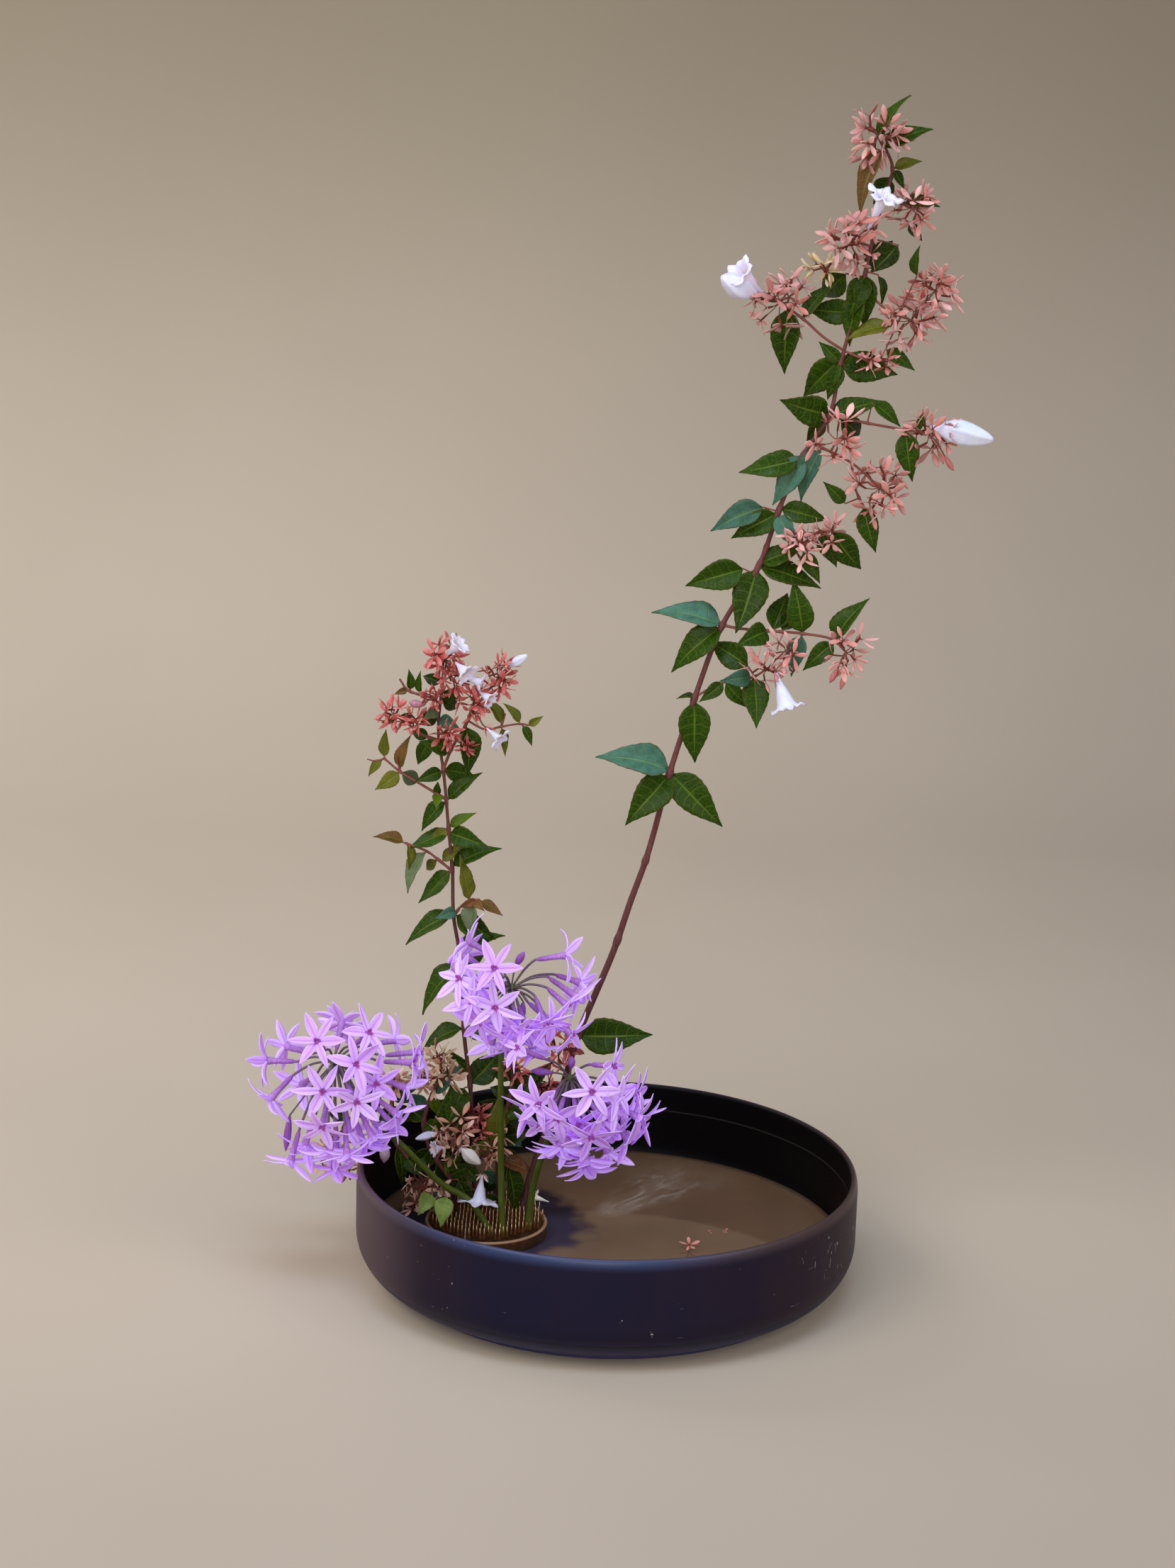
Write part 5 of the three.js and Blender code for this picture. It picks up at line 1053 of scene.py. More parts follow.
KNOB_PROFILE = [(3, 1.7), (1.5, 2.6), (0, 3), (-1.5, 2.4), (-2.8, 0.8)]


def circle(count):
    return np.linspace(0, 2 * math.pi, count + 1)[:-1]


def leaf_shape(arch, fold, wave, droop, seed):
    """A toothed abelia leaf of length and width 1, arched along and folded at its midrib."""
    rows, columns = 19, 9
    phase = random.Random(seed).uniform(0, 6)
    t = np.linspace(0, 1, rows)[:, None]
    u = np.linspace(-1, 1, columns)[None, :]
    teeth = np.where(np.arange(rows) % 2, 0.018, -0.014)[:, None] * (t > 0.2) * (t < 0.92)
    half = 0.5 * (width_at(t, LEAF_OUTLINE) + teeth)
    x = u * half + 0.05 * np.sin(t * 3 + phase) * t
    y = t - np.abs(u) * half * 0.12
    bowed = 4 * arch * t * (1 - t) - droop * t**3
    folded = fold * np.abs(u * half) * (1 - 0.3 * t)
    rippled = wave * np.sin(t * 15 + phase + u) * u * u * half
    sunken_midrib = -0.012 * np.exp(-((u / 0.16) ** 2))
    return sheet(np.stack([x, y, bowed + folded + rippled + sunken_midrib], 2), 0.018)


def petal(turn, start, length, width, spread, curl, twist, cup, outline, size=(9, 5)):
    """A petal that leaves its axis at `spread` and curls by `curl`, both in radians."""
    rows, columns = size
    t = np.linspace(0, 1, rows)
    lean = spread + curl * t
    step = length / (rows - 1)
    out = start + np.concatenate([[0], np.cumsum(np.sin(lean[:-1]) * step)])
    up = np.concatenate([[0], np.cumsum(np.cos(lean[:-1]) * step)])
    u = np.linspace(-1, 1, columns)[None, :]
    half = (0.5 * width * width_at(t, outline))[:, None]
    roll = (twist * t)[:, None]
    lift = -cup * half * (1 - u * u)
    sideways = u * half * np.cos(roll) - lift * np.sin(roll)
    raised = u * half * np.sin(roll) + lift * np.cos(roll)
    radial = out[:, None] - raised * np.cos(lean)[:, None]
    height = up[:, None] + raised * np.sin(lean)[:, None]
    x = radial * math.cos(turn) - sideways * math.sin(turn)
    y = radial * math.sin(turn) + sideways * math.cos(turn)
    return np.stack([x, y, height + 0 * u], 2)


def calyx_shape(count, spread, seed):
    """A calyx of `count` sepals of length 1 round the top of a slim ovary."""
    draw = random.Random(seed)
    turns = [2 * math.pi * k / count + draw.uniform(-0.3, 0.3) for k in range(count)]
    parts = []
    for turn in turns:
        length, width = draw.uniform(0.85, 1.15), draw.uniform(0.26, 0.37)
        lean, curl = spread + draw.uniform(-0.35, 0.3), draw.uniform(-0.5, 0.5)
        twist, cup = draw.uniform(-0.6, 0.6), draw.uniform(-0.1, 0.4)
        grid = petal(turn, 0.03, length, width, lean, curl, twist, cup, SEPAL_OUTLINE, (8, 4))
        parts.append(sheet(grid, 0.025))
    ovary = [
        [(radius * math.cos(turn), radius * math.sin(turn), z) for turn in circle(6)]
        for radius, z in OVARY_PROFILE
    ]
    return joined([*parts, rootlike(sheet(ovary, 0.01, True))])


def rootlike(part):
    """A part coloured all over as a blade is at its root."""
    points, faces, places = part
    places[:, 1] = 0
    return points, faces, places


def floret_shape(spread, seed):
    """Six tepals of length 1 that spread from a small crown at the mouth of the tube."""
    draw = random.Random(seed)
    parts = []
    for k in range(6):
        outer = k % 2
        turn, length = math.pi * k / 3 + draw.uniform(-0.08, 0.08), draw.uniform(0.95, 1.06)
        width = 0.27 if outer else 0.36
        lean, curl = spread + draw.uniform(-0.3, 0.1), draw.uniform(0, 1.2)
        twist, cup = draw.uniform(-0.7, 0.7), draw.uniform(0.1, 0.5)
        grid = petal(turn, 0.02, length, width, lean, curl, twist, cup, TEPAL_OUTLINE, (12, 7))
        grid[:, :, 2] += 0.02 * outer
        parts.append(sheet(grid, 0.022))
    for k in range(3):
        turn = 2 * math.pi * k / 3 + 0.4
        crown = petal(turn, 0.03, 0.16, 0.13, 0.5, 0.2, 0, 0.3, TEPAL_OUTLINE, (4, 3))
        parts.append(rootlike(sheet(crown, 0.02)))
    return joined(parts)


def flower_shape(seed, slim=1):
    """A funnel flower with five blunt lobes: mouth at z 0, foot at z -1, lobes out to 1."""
    throat = 0.6 * slim
    around = circle(40)
    phase = random.Random(seed).uniform(0, 6)
    lobe = np.abs(np.cos(2.5 * around + phase)) ** 0.6
    ripple = 0.05 * np.sin(10 * around + phase)
    rows = [(radius * slim + 0 * lobe, z + 0 * lobe) for radius, z in FUNNEL_PROFILE]
    for share, rise in ((0.2, 0), (0.5, 0.05), (0.8, 0.07), (1, 0.04)):
        reach = throat + share * ((1.22 - throat) * lobe - 0.05)
        rows.append((reach + ripple * share, rise + share * (0.06 * lobe + ripple) - 0.05 * share))
    funnel = [np.stack([r * np.cos(around), r * np.sin(around), z], 1) for r, z in rows]
    parts = [sheet(funnel, 0.03, True)]
    for k in range(4):
        turn = phase + k * math.pi / 2
        thread = petal(turn, 0.04, 0.75, 0.05, 0.12, 0.25, 0, 0, THREAD_OUTLINE, (5, 3))
        thread[:, :, 2] -= 0.62
        parts.append(sheet(thread, 0.03))
    return joined(parts)


def furled_shape(seed):
    """A flower whose lobes are still folded forward to a blunt point: foot at z -1, tip at 0."""
    around = circle(30)
    phase = random.Random(seed).uniform(0, 6)
    folds = 0.22 * np.abs(np.sin(2.5 * around + phase)) ** 0.6
    rows = []
    for radius, z in FURLED_PROFILE:
        reach = radius * (1 - folds * (z > -0.85))
        turn = around + 0.5 * z
        rows.append(np.stack([reach * np.cos(turn), reach * np.sin(turn), z + 0 * turn], 1))
    return sheet(rows, 0.03, True)


def make_leaf_shapes():
    # Arch, fold, wave and droop of each.
    kinds = [
        (0.08, 0.14, 0.02, 0.02), (0.05, 0.28, 0.015, 0.1), (0.1, 0.2, 0.03, 0),
        (0.06, 0.22, 0.02, 0.12), (0.03, 0.08, 0.035, -0.03),
    ]
    return shapes_of("leaf", [leaf_shape(*kind, seed) for seed, kind in enumerate(kinds, 1)])


def make_calyx_shapes():
    # Number of sepals and their spread.
    kinds = [(5, 1.3), (4, 1.1), (5, 0.95), (4, 1.25), (5, 1.45), (3, 1)]
    shapes = [calyx_shape(count, spread, count + i) for i, (count, spread) in enumerate(kinds)]
    return shapes_of("calyx", shapes)


def make_floret_shapes():
    spreads = [1.3, 1.5, 1.15, 1.4, 1.25]
    return shapes_of("floret", [floret_shape(spread, i) for i, spread in enumerate(spreads)])


def make_flower_shapes():
    shapes = [flower_shape(3, 0.6), flower_shape(8), flower_shape(12), furled_shape(5)]
    return shapes_of("flower", shapes)


class Shaper(Tree):
    """A Geometry Nodes tree with named inputs."""

    def __init__(self, name, **inputs):
        super().__init__(bpy.data.node_groups.new(name, "GeometryNodeTree"))
        self.add_socket("Geometry", "Geometry")
        for word, (kind, default) in inputs.items():
            made = self.add_socket(word.title(), kind)
            if default is not None:
                made.default_value = default
        self.add_socket("Geometry", "Geometry", "OUTPUT")
        self.given = self.node("NodeGroupInput").outputs

    def add_socket(self, name, kind, way="INPUT"):
        sockets = self.tree.interface
        return sockets.new_socket(name=name, in_out=way, socket_type=f"NodeSocket{kind}")

    def named(self, name, kind="FLOAT"):
        return self.out("GeometryNodeInputNamedAttribute", {"data_type": kind}, {"Name": name})

    def index(self):
        return self.number("GeometryNodeInputIndex")

    def turned(self, angles):
        return self.out("FunctionNodeEulerToRotation", None, {0: angles})

    def joined(self, *parts):
        join = self.node("GeometryNodeJoinGeometry")
        for part in parts:
            self.plug(join.inputs[0], part)
        return join.outputs[0]

    def coated(self, geometry, material, selection=True):
        inputs = {"Geometry": geometry, "Selection": selection, "Material": material}
        return self.out("GeometryNodeSetMaterial", None, inputs)

    def close(self, geometry, material, *others):
        """Ends the tree: real copies, shaded smooth, and each material where it is selected."""
        whole = self.out("GeometryNodeRealizeInstances", None, {"Geometry": geometry})
        smooth = self.out("GeometryNodeSetShadeSmooth", None, {"Geometry": whole})
        coated = self.coated(smooth, material)
        for other, selection in others:
            coated = self.coated(coated, other, selection)
        self.node("NodeGroupOutput", None, {"Geometry": coated})
        return self.tree


def growth_tree():
    """Tubes along the edges of a mesh and shapes on its loose points."""
    tree = Shaper(
        "growth",
        shapes=("Collection", None),
        sides=("Int", 8),
        stem=("Material", None),
        blades=("Material", None),
    )
    given = tree.given
    ring = {"Resolution": given["Sides"], "Radius": 1}
    tubes = tree.out("GeometryNodeCurveToMesh", None, {
        "Curve": tree.out("GeometryNodeMeshToCurve", None, {"Mesh": given["Geometry"]}),
        "Profile Curve": tree.out("GeometryNodeCurvePrimitiveCircle", None, ring),
        "Scale": tree.named("radius"),
        "Fill Caps": True,
    })
    shapes = tree.out("GeometryNodeCollectionInfo", None, {
        "Collection": given["Shapes"],
        "Separate Children": True,
        "Reset Children": True,
    })
    kind = Number(tree, tree.named("kind", "INT"))
    copies = tree.out("GeometryNodeInstanceOnPoints", None, {
        "Points": given["Geometry"],
        "Selection": kind > -0.5,
        "Instance": shapes,
        "Pick Instance": True,
        "Instance Index": kind,
        "Rotation": tree.turned(tree.named("turn", "FLOAT_VECTOR")),
        "Scale": tree.named("size", "FLOAT_VECTOR"),
    })
    face = tree.split(tree.named("blade", "FLOAT_VECTOR"))[2]
    return tree.close(tree.joined(copies, tubes), given["Stem"], (given["Blades"], face > 0.5))


def turned_tree():
    """A body turned about the upright axis from the points of its profile."""
    tree = Shaper("turned", rows=("Int", 12), sides=("Int", 160), surface=("Material", None))
    given = tree.given
    sides = Number(tree, given["Sides"])
    vertices = {"Vertices X": given["Rows"], "Vertices Y": sides + 1}
    grid = tree.out("GeometryNodeMeshGrid", None, vertices)
    row = tree.math("FLOOR", (tree.index() + 0.5) / (sides + 1))
    angle = (tree.index() - row * (sides + 1)) * (2 * math.pi) / sides
    sample = tree.out("GeometryNodeSampleIndex", {"data_type": "FLOAT_VECTOR"}, {
        "Geometry": given["Geometry"],
        "Value": tree.out("GeometryNodeInputPosition"),
        "Index": row,
    })
    radius, _, height = tree.split(sample)
    across, back = radius * tree.math("COSINE", angle), radius * tree.math("SINE", angle)
    spun = {"Geometry": grid, "Position": tree.point(across, back, height)}
    body = {"Geometry": tree.out("GeometryNodeSetPosition", None, spun), "Distance": 1e-6}
    return tree.close(tree.out("GeometryNodeMergeByDistance", None, body), given["Surface"])


def pins_tree():
    """Tapered pins in staggered rows inside a circle round the given geometry's origin."""
    tree = Shaper(
        "pins",
        radius=("Float", 0.035),
        pitch=("Float", PIN_PITCH),
        height=("Float", PIN_HEIGHT),
        thickness=("Float", PIN_RADIUS),
        seed=("Int", 4),
        surface=("Material", None),
    )
    given = tree.given
    radius, pitch, thickness = (Number(tree, given[k]) for k in ("Radius", "Pitch", "Thickness"))
    count = tree.math("CEIL", radius * 2 / pitch)
    span = count * pitch
    grid = tree.out("GeometryNodeMeshGrid", None, {
        "Size X": span,
        "Size Y": span * 0.9,
        "Vertices X": count + 1,
        "Vertices Y": count + 1,
    })
    stagger = tree.point((tree.index() % 2) * pitch * 0.5)
    rows = tree.out("GeometryNodeSetPosition", None, {"Geometry": grid, "Offset": stagger})
    length = tree.number(
        "ShaderNodeVectorMath", {"operation": "LENGTH"},
        {0: tree.out("GeometryNodeInputPosition")}, "Value",
    )
    outside = {"Geometry": rows, "Selection": length > radius}
    cone = tree.out("GeometryNodeMeshCone", None, {
        "Vertices": 8,
        "Side Segments": 3,
        "Radius Top": thickness * 0.16,
        "Radius Bottom": thickness,
        "Depth": given["Height"],
    })
    lean = tree.out("FunctionNodeRandomValue", {"data_type": "FLOAT_VECTOR"}, {
        "Min": (-PIN_LEAN, -PIN_LEAN, 0),
        "Max": (PIN_LEAN, PIN_LEAN, 3),
        "Seed": given["Seed"],
    })
    copies = tree.out("GeometryNodeInstanceOnPoints", None, {
        "Points": tree.out("GeometryNodeDeleteGeometry", None, outside),
        "Instance": cone,
        "Rotation": tree.turned(lean),
    })
    return tree.close(tree.joined(copies, given["Geometry"]), given["Surface"])


def shaped(name, mesh, tree, **values):
    """An object with the plain mesh that a Geometry Nodes tree makes of `mesh`."""
    piece = bpy.data.objects.new(name, mesh)
    bpy.context.scene.collection.objects.link(piece)
    modifier = piece.modifiers.new("shape", "NODES")
    modifier.node_group = tree
    for item in tree.interface.items_tree:
        word = item.name.lower()
        if item.in_out == "INPUT" and word in values:
            modifier[item.identifier] = values[word]
    seen = piece.evaluated_get(bpy.context.evaluated_depsgraph_get())
    made = bpy.data.meshes.new_from_object(seen)
    piece.modifiers.clear()
    piece.data = made
    return piece


def settle(piece, node):
    """Rides a piece on the arrangement's one body, in place of a CAD node."""
    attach(piece, "root")
    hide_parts(node)


class Kit:
    """Trees, shapes and finishes that the operators share, each made when first asked for."""

    made = {}
    makers = {
        "growth": growth_tree,
        "turned": turned_tree,
        "pins": pins_tree,
        "leaf_shapes": make_leaf_shapes,
        "calyx_shapes": make_calyx_shapes,
        "floret_shapes": make_floret_shapes,
        "flower_shapes": make_flower_shapes,
        "leaf": leaf_finish,
        "sepal": sepal_finish,
        "garlic": garlic_finish,
        "white": white_finish,
        "bark": bark_finish,
        "scape": scape_finish,
        "water": water_finish,
        "brass": brass_finish,
    }

    @classmethod
    def get(cls, name):
        if name not in cls.made:
            cls.made[name] = cls.makers[name]()
        return cls.made[name]

    @classmethod
    def clear(cls):
        """Removes the shapes that copies were made of."""
        for collection in cls.made.values():
            if isinstance(collection, bpy.types.Collection):
                for shape in list(collection.objects):
                    bpy.data.objects.remove(shape)
                bpy.data.collections.remove(collection)


class Growth:
    """Stems and placed shapes gathered for one piece."""

    def __init__(self):
        self.points = []
        self.edges = []
        self.values = {"radius": [], "tint": [], "turn": [], "size": [], "kind": []}

    def _add(self, point, radius, tint, turn=(0, 0, 0), size=(1, 1, 1), kind=-1):
        self.points.append(tuple(point))
        for word, value in zip(self.values, (radius, tint, turn, size, kind)):
            self.values[word].append(value)

    def stem(self, points, radii, tints):
        start = len(self.points)
        for point, radius, tint in zip(points, radii, tints):
            self._add(point, radius, tint)
        self.edges += [(i, i + 1) for i in range(start, len(self.points) - 1)]

    def twig(self, points, *radii):
        """A twig through points, its radii there in mm, the last one also at all that follow."""
        radii += radii[-1:] * (len(points) - len(radii))
        self.stem(points, [radius * MM for radius in radii], [TWIG_TINT] * len(points))

    def shape(self, kind, point, axes, size, tint):
        turn = Matrix(axes).transposed().to_euler()
        self._add(point, 0, tint, turn, size, kind)

    def grow(self, name, shapes, stem, blades, sides=8):
        mesh = bpy.data.meshes.new(name)
        mesh.from_pydata(self.points, self.edges, [])
        kinds = {"radius": ("FLOAT", "value"), "kind": ("INT", "value")}
        for word, rows in self.values.items():
            kind, field = kinds.get(word, ("FLOAT_VECTOR", "vector"))
            layer = mesh.attributes.new(word, kind, "POINT")
            numbers = np.asarray(rows, np.int32 if kind == "INT" else np.float32)
            layer.data.foreach_set(field, numbers.ravel())
        return shaped(
            name, mesh, Kit.get("growth"), shapes=Kit.get(shapes), sides=sides,
            stem=Kit.get(stem), blades=Kit.get(blades),
        )


def smooth_path(points, spacing=2.5 * MM):
    """Points along a centripetal Catmull-Rom curve, and how far along the given ones each is."""
    given = [Vector(point) for point in points]
    padded = [2 * given[0] - given[1], *given, 2 * given[-1] - given[-2]]
    made, places = [], []
    for i in range(len(given) - 1):
        p0, p1, p2, p3 = padded[i : i + 4]
        d0, d1, d2 = ((b - a).length ** 0.5 for a, b in ((p0, p1), (p1, p2), (p2, p3)))
        start = ((p1 - p0) / d0 - (p2 - p0) / (d0 + d1) + (p2 - p1) / d1) * d1
        end = ((p2 - p1) / d1 - (p3 - p1) / (d1 + d2) + (p3 - p2) / d2) * d1
        steps = max(2, round((p2 - p1).length / spacing))
        for k in range(steps + (i == len(given) - 2)):
            t = k / steps
            made.append(
                p1 * (2 * t**3 - 3 * t**2 + 1) + start * (t**3 - 2 * t**2 + t)
                + p2 * (3 * t**2 - 2 * t**3) + end * (t**3 - t**2)
            )
            places.append((i + t) / (len(given) - 1))
    return made, places


def blended(low, high, share):
    return tuple(a + (b - a) * share for a, b in zip(low, high))


def brightened(tint, brightness):
    return tuple(value * brightness for value in tint)


def foot_of(plan):
    """Where a plant's stem stands among the pins."""
    return Vector((*plan["foot"], HOLDER_TOP)) * MM


def nearest_on(plan, x, z):
    """Nearest place on a branch's shoots to a seen one: distance in mm, toward and point."""
    best = (math.inf, 0, None)
    for _, path in plan["shoots"]:
        for (ax, az, at), (bx, bz, bt) in zip(path, path[1:]):
            span = (bx - ax) ** 2 + (bz - az) ** 2
            t = min(1, max(0, ((x - ax) * (bx - ax) + (z - az) * (bz - az)) / span))
            sx, sz, toward = ax + (bx - ax) * t, az + (bz - az) * t, at + (bt - at) * t
            distance = math.hypot(x - sx, z - sz)
            if distance < best[0]:
                best = (distance, toward, spot(sx, sz, toward))
    return best


def blade_axes(root, along, roll):
    """Side, along and face directions of a blade rolled from the eye, its face up if it can."""
    view = (EYE - root).normalized()
    side = along.cross(view).normalized()
    face = side.cross(along)
    turns = [Quaternion(along, sign * roll) for sign in (1, -1)]
    turn = max(turns, key=lambda quaternion: (quaternion @ face).z)
    return turn @ side, along, turn @ face


def add_leaf(growth, plan, row, draw):
    """A leaf as long and as wide as it is seen, rolled so that its full width fits its length."""
    bx, bz, tx, tz, width, way, tint, ahead = row if len(row) == 8 else (*row, 0)
    distance, toward, near = nearest_on(plan, bx, bz)
    toward += ahead
    base = near if distance < PETIOLE_FROM and not ahead else spot(bx, bz, toward)
    seen = math.hypot(tx - bx, tz - bz)
    deep = math.sqrt(max(0, (LEAF_PROPORTION * width) ** 2 - seen**2))
    tip = spot(tx, tz, toward + way * deep)
    along = (tip - base).normalized()
    length = (tip - base).length
    full = max(width * MM, length / LEAF_SLENDERNESS)
    roll = math.acos(min(1, width * MM / full))
    foot = base + along * (LEAF_STALK * MM if length > SMALL_LEAF * MM else 0)
    axes = blade_axes(base, along, roll)
    colour = brightened(LEAF_TINTS[tint], draw.uniform(0.8, 1.2))
    bend = length * draw.uniform(0.85, 1.15)
    growth.shape(draw.randrange(5), foot, axes, (full * 1.06, length, bend), colour)
    stalk = [near, base.lerp(tip, 0.02) - axes[2] * 0.1 * MM, foot + along * 0.08 * length]
    if (stalk[0] - stalk[1]).length < 0.2 * MM:
        growth.twig(stalk[1:], 0.5, 0.3)
    else:
        growth.twig(stalk, 0.55, 0.5, 0.3)


def add_shoot(growth, line, places, radii, tints, joints):
    """A woody shoot between two radii and two tints, swollen at its leaf joints."""
    widths = []
    for point, share in zip(line, places):
        near = min((point - joint).length for joint in joints)
        swelling = 1 + JOINT_SWELLING * math.exp(-((near / (JOINT_REACH * MM)) ** 2))
        widths.append((radii[0] + (radii[1] - radii[0]) * share) * MM * swelling)
    growth.stem(line, widths, [blended(*tints, min(1, share * 2.5)) for share in places])


def add_wood(growth, plan, sprays):
    """A branch's main stem from its foot, its side shoots, and a twig to each spray."""
    rings = [*plan["leaves"], *plan.get("rings", ())]
    joints = [nearest_on(plan, x, z)[2] for x, z, *_ in rings]
    for index, (radii, path) in enumerate(plan["shoots"]):
        points = [spot(*place) for place in path]
        main = index == 0
        line, places = smooth_path([foot_of(plan), *points] if main else points)
        tints = (OLD_WOOD_TINT, WOOD_TINT) if main else (TWIG_TINT, TWIG_TINT)
        add_shoot(growth, line, places, radii, tints, joints)
    for bunches in sprays:
        x, z, toward, _ = bunches[0]
        near, end = nearest_on(plan, x, z)[2], spot(x, z, toward)
        if (near - end).length > 1 * MM:
            growth.twig([near, end], 0.7, 0.6)


def axes_along(direction, turn):
    """Three square axes, the last along `direction`."""
    direction = direction.normalized()
    frame_turn = direction.to_track_quat("Z", "Y") @ Quaternion((0, 0, 1), turn)
    return [frame_turn @ Vector(axis) for axis in ((1, 0, 0), (0, 1, 0), (0, 0, 1))]


def add_bunch(growth, bunch, tints, crowd, draw):
    """Calyxes on short stalks all round the middle of a bunch, most on the side of the light."""
    x, z, toward, reach = bunch
    centre = spot(x, z, toward)
    count = max(4, round(reach * crowd))
    sepal = min(11.5, 5.6 + reach * 0.4) * MM
    spread = reach * 1.15 * MM - sepal * 0.4
    for k in range(count):
        height = 1 - 2 * (k + 0.5) / count
        level = math.sqrt(1 - height * height)
        turn = k * GOLDEN_TURN + draw.uniform(-0.3, 0.3)
        aim = Vector((level * math.cos(turn), height * 0.85, level * math.sin(turn))).normalized()
        aim.y = -abs(aim.y) if draw.random() < 0.35 else aim.y
        place = centre + aim * spread * draw.uniform(0.6, 1.08)
        lean = (aim + Vector([draw.uniform(-0.5, 0.5) for _ in range(3)])).normalized()
        size = sepal * draw.uniform(0.8, 1.08)
        brightness = draw.uniform(0.65, 1.22)
        tint = brightened(blended(*tints, draw.random()), brightness)
        kind = draw.randrange(6)
        growth.shape(kind, place, axes_along(lean, draw.uniform(0, 6)), (size,) * 3, tint)
        foot = place - lean * size * 0.5
        middle = centre.lerp(foot, 0.5) + Vector((0, 0, -0.6 * MM))
        growth.twig([centre, middle, foot], 0.4, 0.3, 0.35)


def add_bud(growth, start, base, tip, radius, stalk_tint, tint):
    """A stalk that swells into a closed bud."""
    line, _ = smooth_path([start, start.lerp(base, 0.55) + Vector((0, 0, 1 * MM)), base])
    radii = [0.5 * MM] * len(line) + [radius * MM * width for _, width in BUD_PROFILE]
    tints = [stalk_tint] * len(line) + [tint] * len(BUD_PROFILE)
    line += [base.lerp(tip, share) for share, _ in BUD_PROFILE]
    growth.stem(line, radii, tints)


def add_floret(growth, hub, mouth, tube_foot, index, draw):
    """A floret: pedicel, tube that widens to its mouth, and six tepals round it."""
    open_at = spot(*mouth)
    if tube_foot:
        foot = spot(*tube_foot)
    else:
        foot = hub.lerp(open_at, max(0.3, 1 - FLORET_TUBE / (open_at - hub).length))
    along = (open_at - foot).normalized()
    rise = Vector((0, 0, 0.12 * (foot - hub).length))
    line, places = smooth_path([hub, hub.lerp(foot, 0.5) + rise, foot - along * 1.5 * MM, foot])
    radii = [(0.62 + 0.25 * share) * MM for share in places]
    tints = [blended(PEDICEL_TINT, BUD_TINT, share**3) for share in places]
    for share, width in TUBE_PROFILE:
        line.append(foot.lerp(open_at, share))
        radii.append(width * MM)
        tints.append(blended(BUD_TINT, TUBE_TINT, share))
    growth.stem(line, radii, tints)
    tint = blended(*TEPAL_TINTS, draw.random())
    size = FLORET_REACH * draw.uniform(0.95, 1.05)
    growth.shape(draw.randrange(5), open_at, axes_along(along, index * 0.7), (size,) * 3, tint)


def add_spray(growth, node, tint, bunches, draw):
    """The bunches of one spray, the later ones on twigs from the middle of the first."""
    first = spot(*bunches[0][:3])
    crowd = 0.62 if tint in ("tan", "rose") else 0.9
    for number, bunch in enumerate(bunches):
        faded = node == "tall_bunch_upper" and number == 1
        add_bunch(growth, bunch, SEPAL_TINTS["cream" if faded else tint], crowd, draw)
        if number:
            growth.twig([first, spot(*bunch[:3])], 0.5)


def bloom_ends(base, mouth, toward, ahead):
    """Foot and mouth of a bloom whose mouth comes `ahead` of its foot."""
    return spot(*base, toward), spot(*mouth, toward + ahead)


def add_flower_stalk(growth, start, base, mouth, tint):
    """A stalk with the calyx that holds a bloom."""
    along = (mouth - base).normalized()
    foot = base - along * 3 * MM
    line, _ = smooth_path([start, start.lerp(foot, 0.6) - along * MM, foot, base])
    growth.twig(line, 0.45)
    growth.shape(1, base - along * MM, axes_along(along, 0), (6 * MM,) * 3, tint)


def grow_blooms(node, index, tint, blooms):
    growth = Growth()
    for kind, base, mouth, reach in blooms:
        axis = mouth - base
        size = (reach * MM, reach * MM, axis.length)
        growth.shape(kind, mouth, axes_along(axis, index), size, tint)
    piece = growth.grow(f"{node}_bloom", "flower_shapes", "bark", "white")
    settle(piece, node)


def grow_scape(side, plan):
    """A bare scape up from the pin holder. Gives the points of its path."""
    line, places = smooth_path([foot_of(plan), *(spot(*place) for place in plan["scape"])])
    radii = [(2.2 - 0.7 * share) * MM for share in places]
    tints = [blended(SCAPE_FOOT_TINT, SCAPE_TINT, min(1, share * 3)) for share in places]
    growth = Growth()
    growth.stem(line, radii, tints)
    piece = growth.grow(f"scape_{side}_stem", "leaf_shapes", "scape", "leaf", 20)
    settle(piece, f"scape_{side}")
    return line


def grow_umbel(side, plan, line, draw):
    """Florets and buds round the knob at the top of a scape."""
    hub = line[-1]
    down = (line[-3] - hub).normalized()
    knob = [hub + down * below * MM for below, _ in KNOB_PROFILE]
    growth = Growth()
    growth.stem(knob, [radius * MM for _, radius in KNOB_PROFILE], [SCAPE_TINT] * len(knob))
    for number, (mouth, tube_foot) in enumerate(plan["florets"]):
        add_floret(growth, hub, mouth, tube_foot, number, draw)
    hub_x, hub_z, hub_toward = plan["scape"][-1]
    for number, (x, z, way) in enumerate(plan["more"]):
        seen = math.hypot(x - hub_x, z - hub_z)
        deep = math.sqrt(max(0, UMBEL_RADIUS**2 - seen**2))
        add_floret(growth, hub, (x, z, hub_toward + way * deep), None, number, draw)
    for tip, base in plan["buds"]:
        add_bud(growth, hub, spot(*base), spot(*tip), 2.3, PEDICEL_TINT, BUD_TINT)
    piece = growth.grow(f"umbel_{side}_florets", "floret_shapes", "scape", "garlic", 12)
    settle(piece, f"umbel_{side}")


def length_setting(name, description, default):
    return bpy.props.FloatProperty(
        name=name, description=description, default=default, unit="LENGTH"
    )


def colour_setting(name, description, default):
    return bpy.props.FloatVectorProperty(
        name=name, description=description, default=default, subtype="COLOR", min=0, max=1
    )


class BowlSettings(bpy.types.PropertyGroup):
    radius: length_setting("Radius", "Outer radius of the bowl", 0.15)
    height: length_setting("Height", "Height of the bowl", 0.07)
    wall: length_setting("Wall", "Thickness of the wall", 0.0045)
    water_level: length_setting("Water level", "Height of the water", WATER_LEVEL)
    glaze: colour_setting("Glaze", "Colour of the glaze", shade(24, 23, 46))


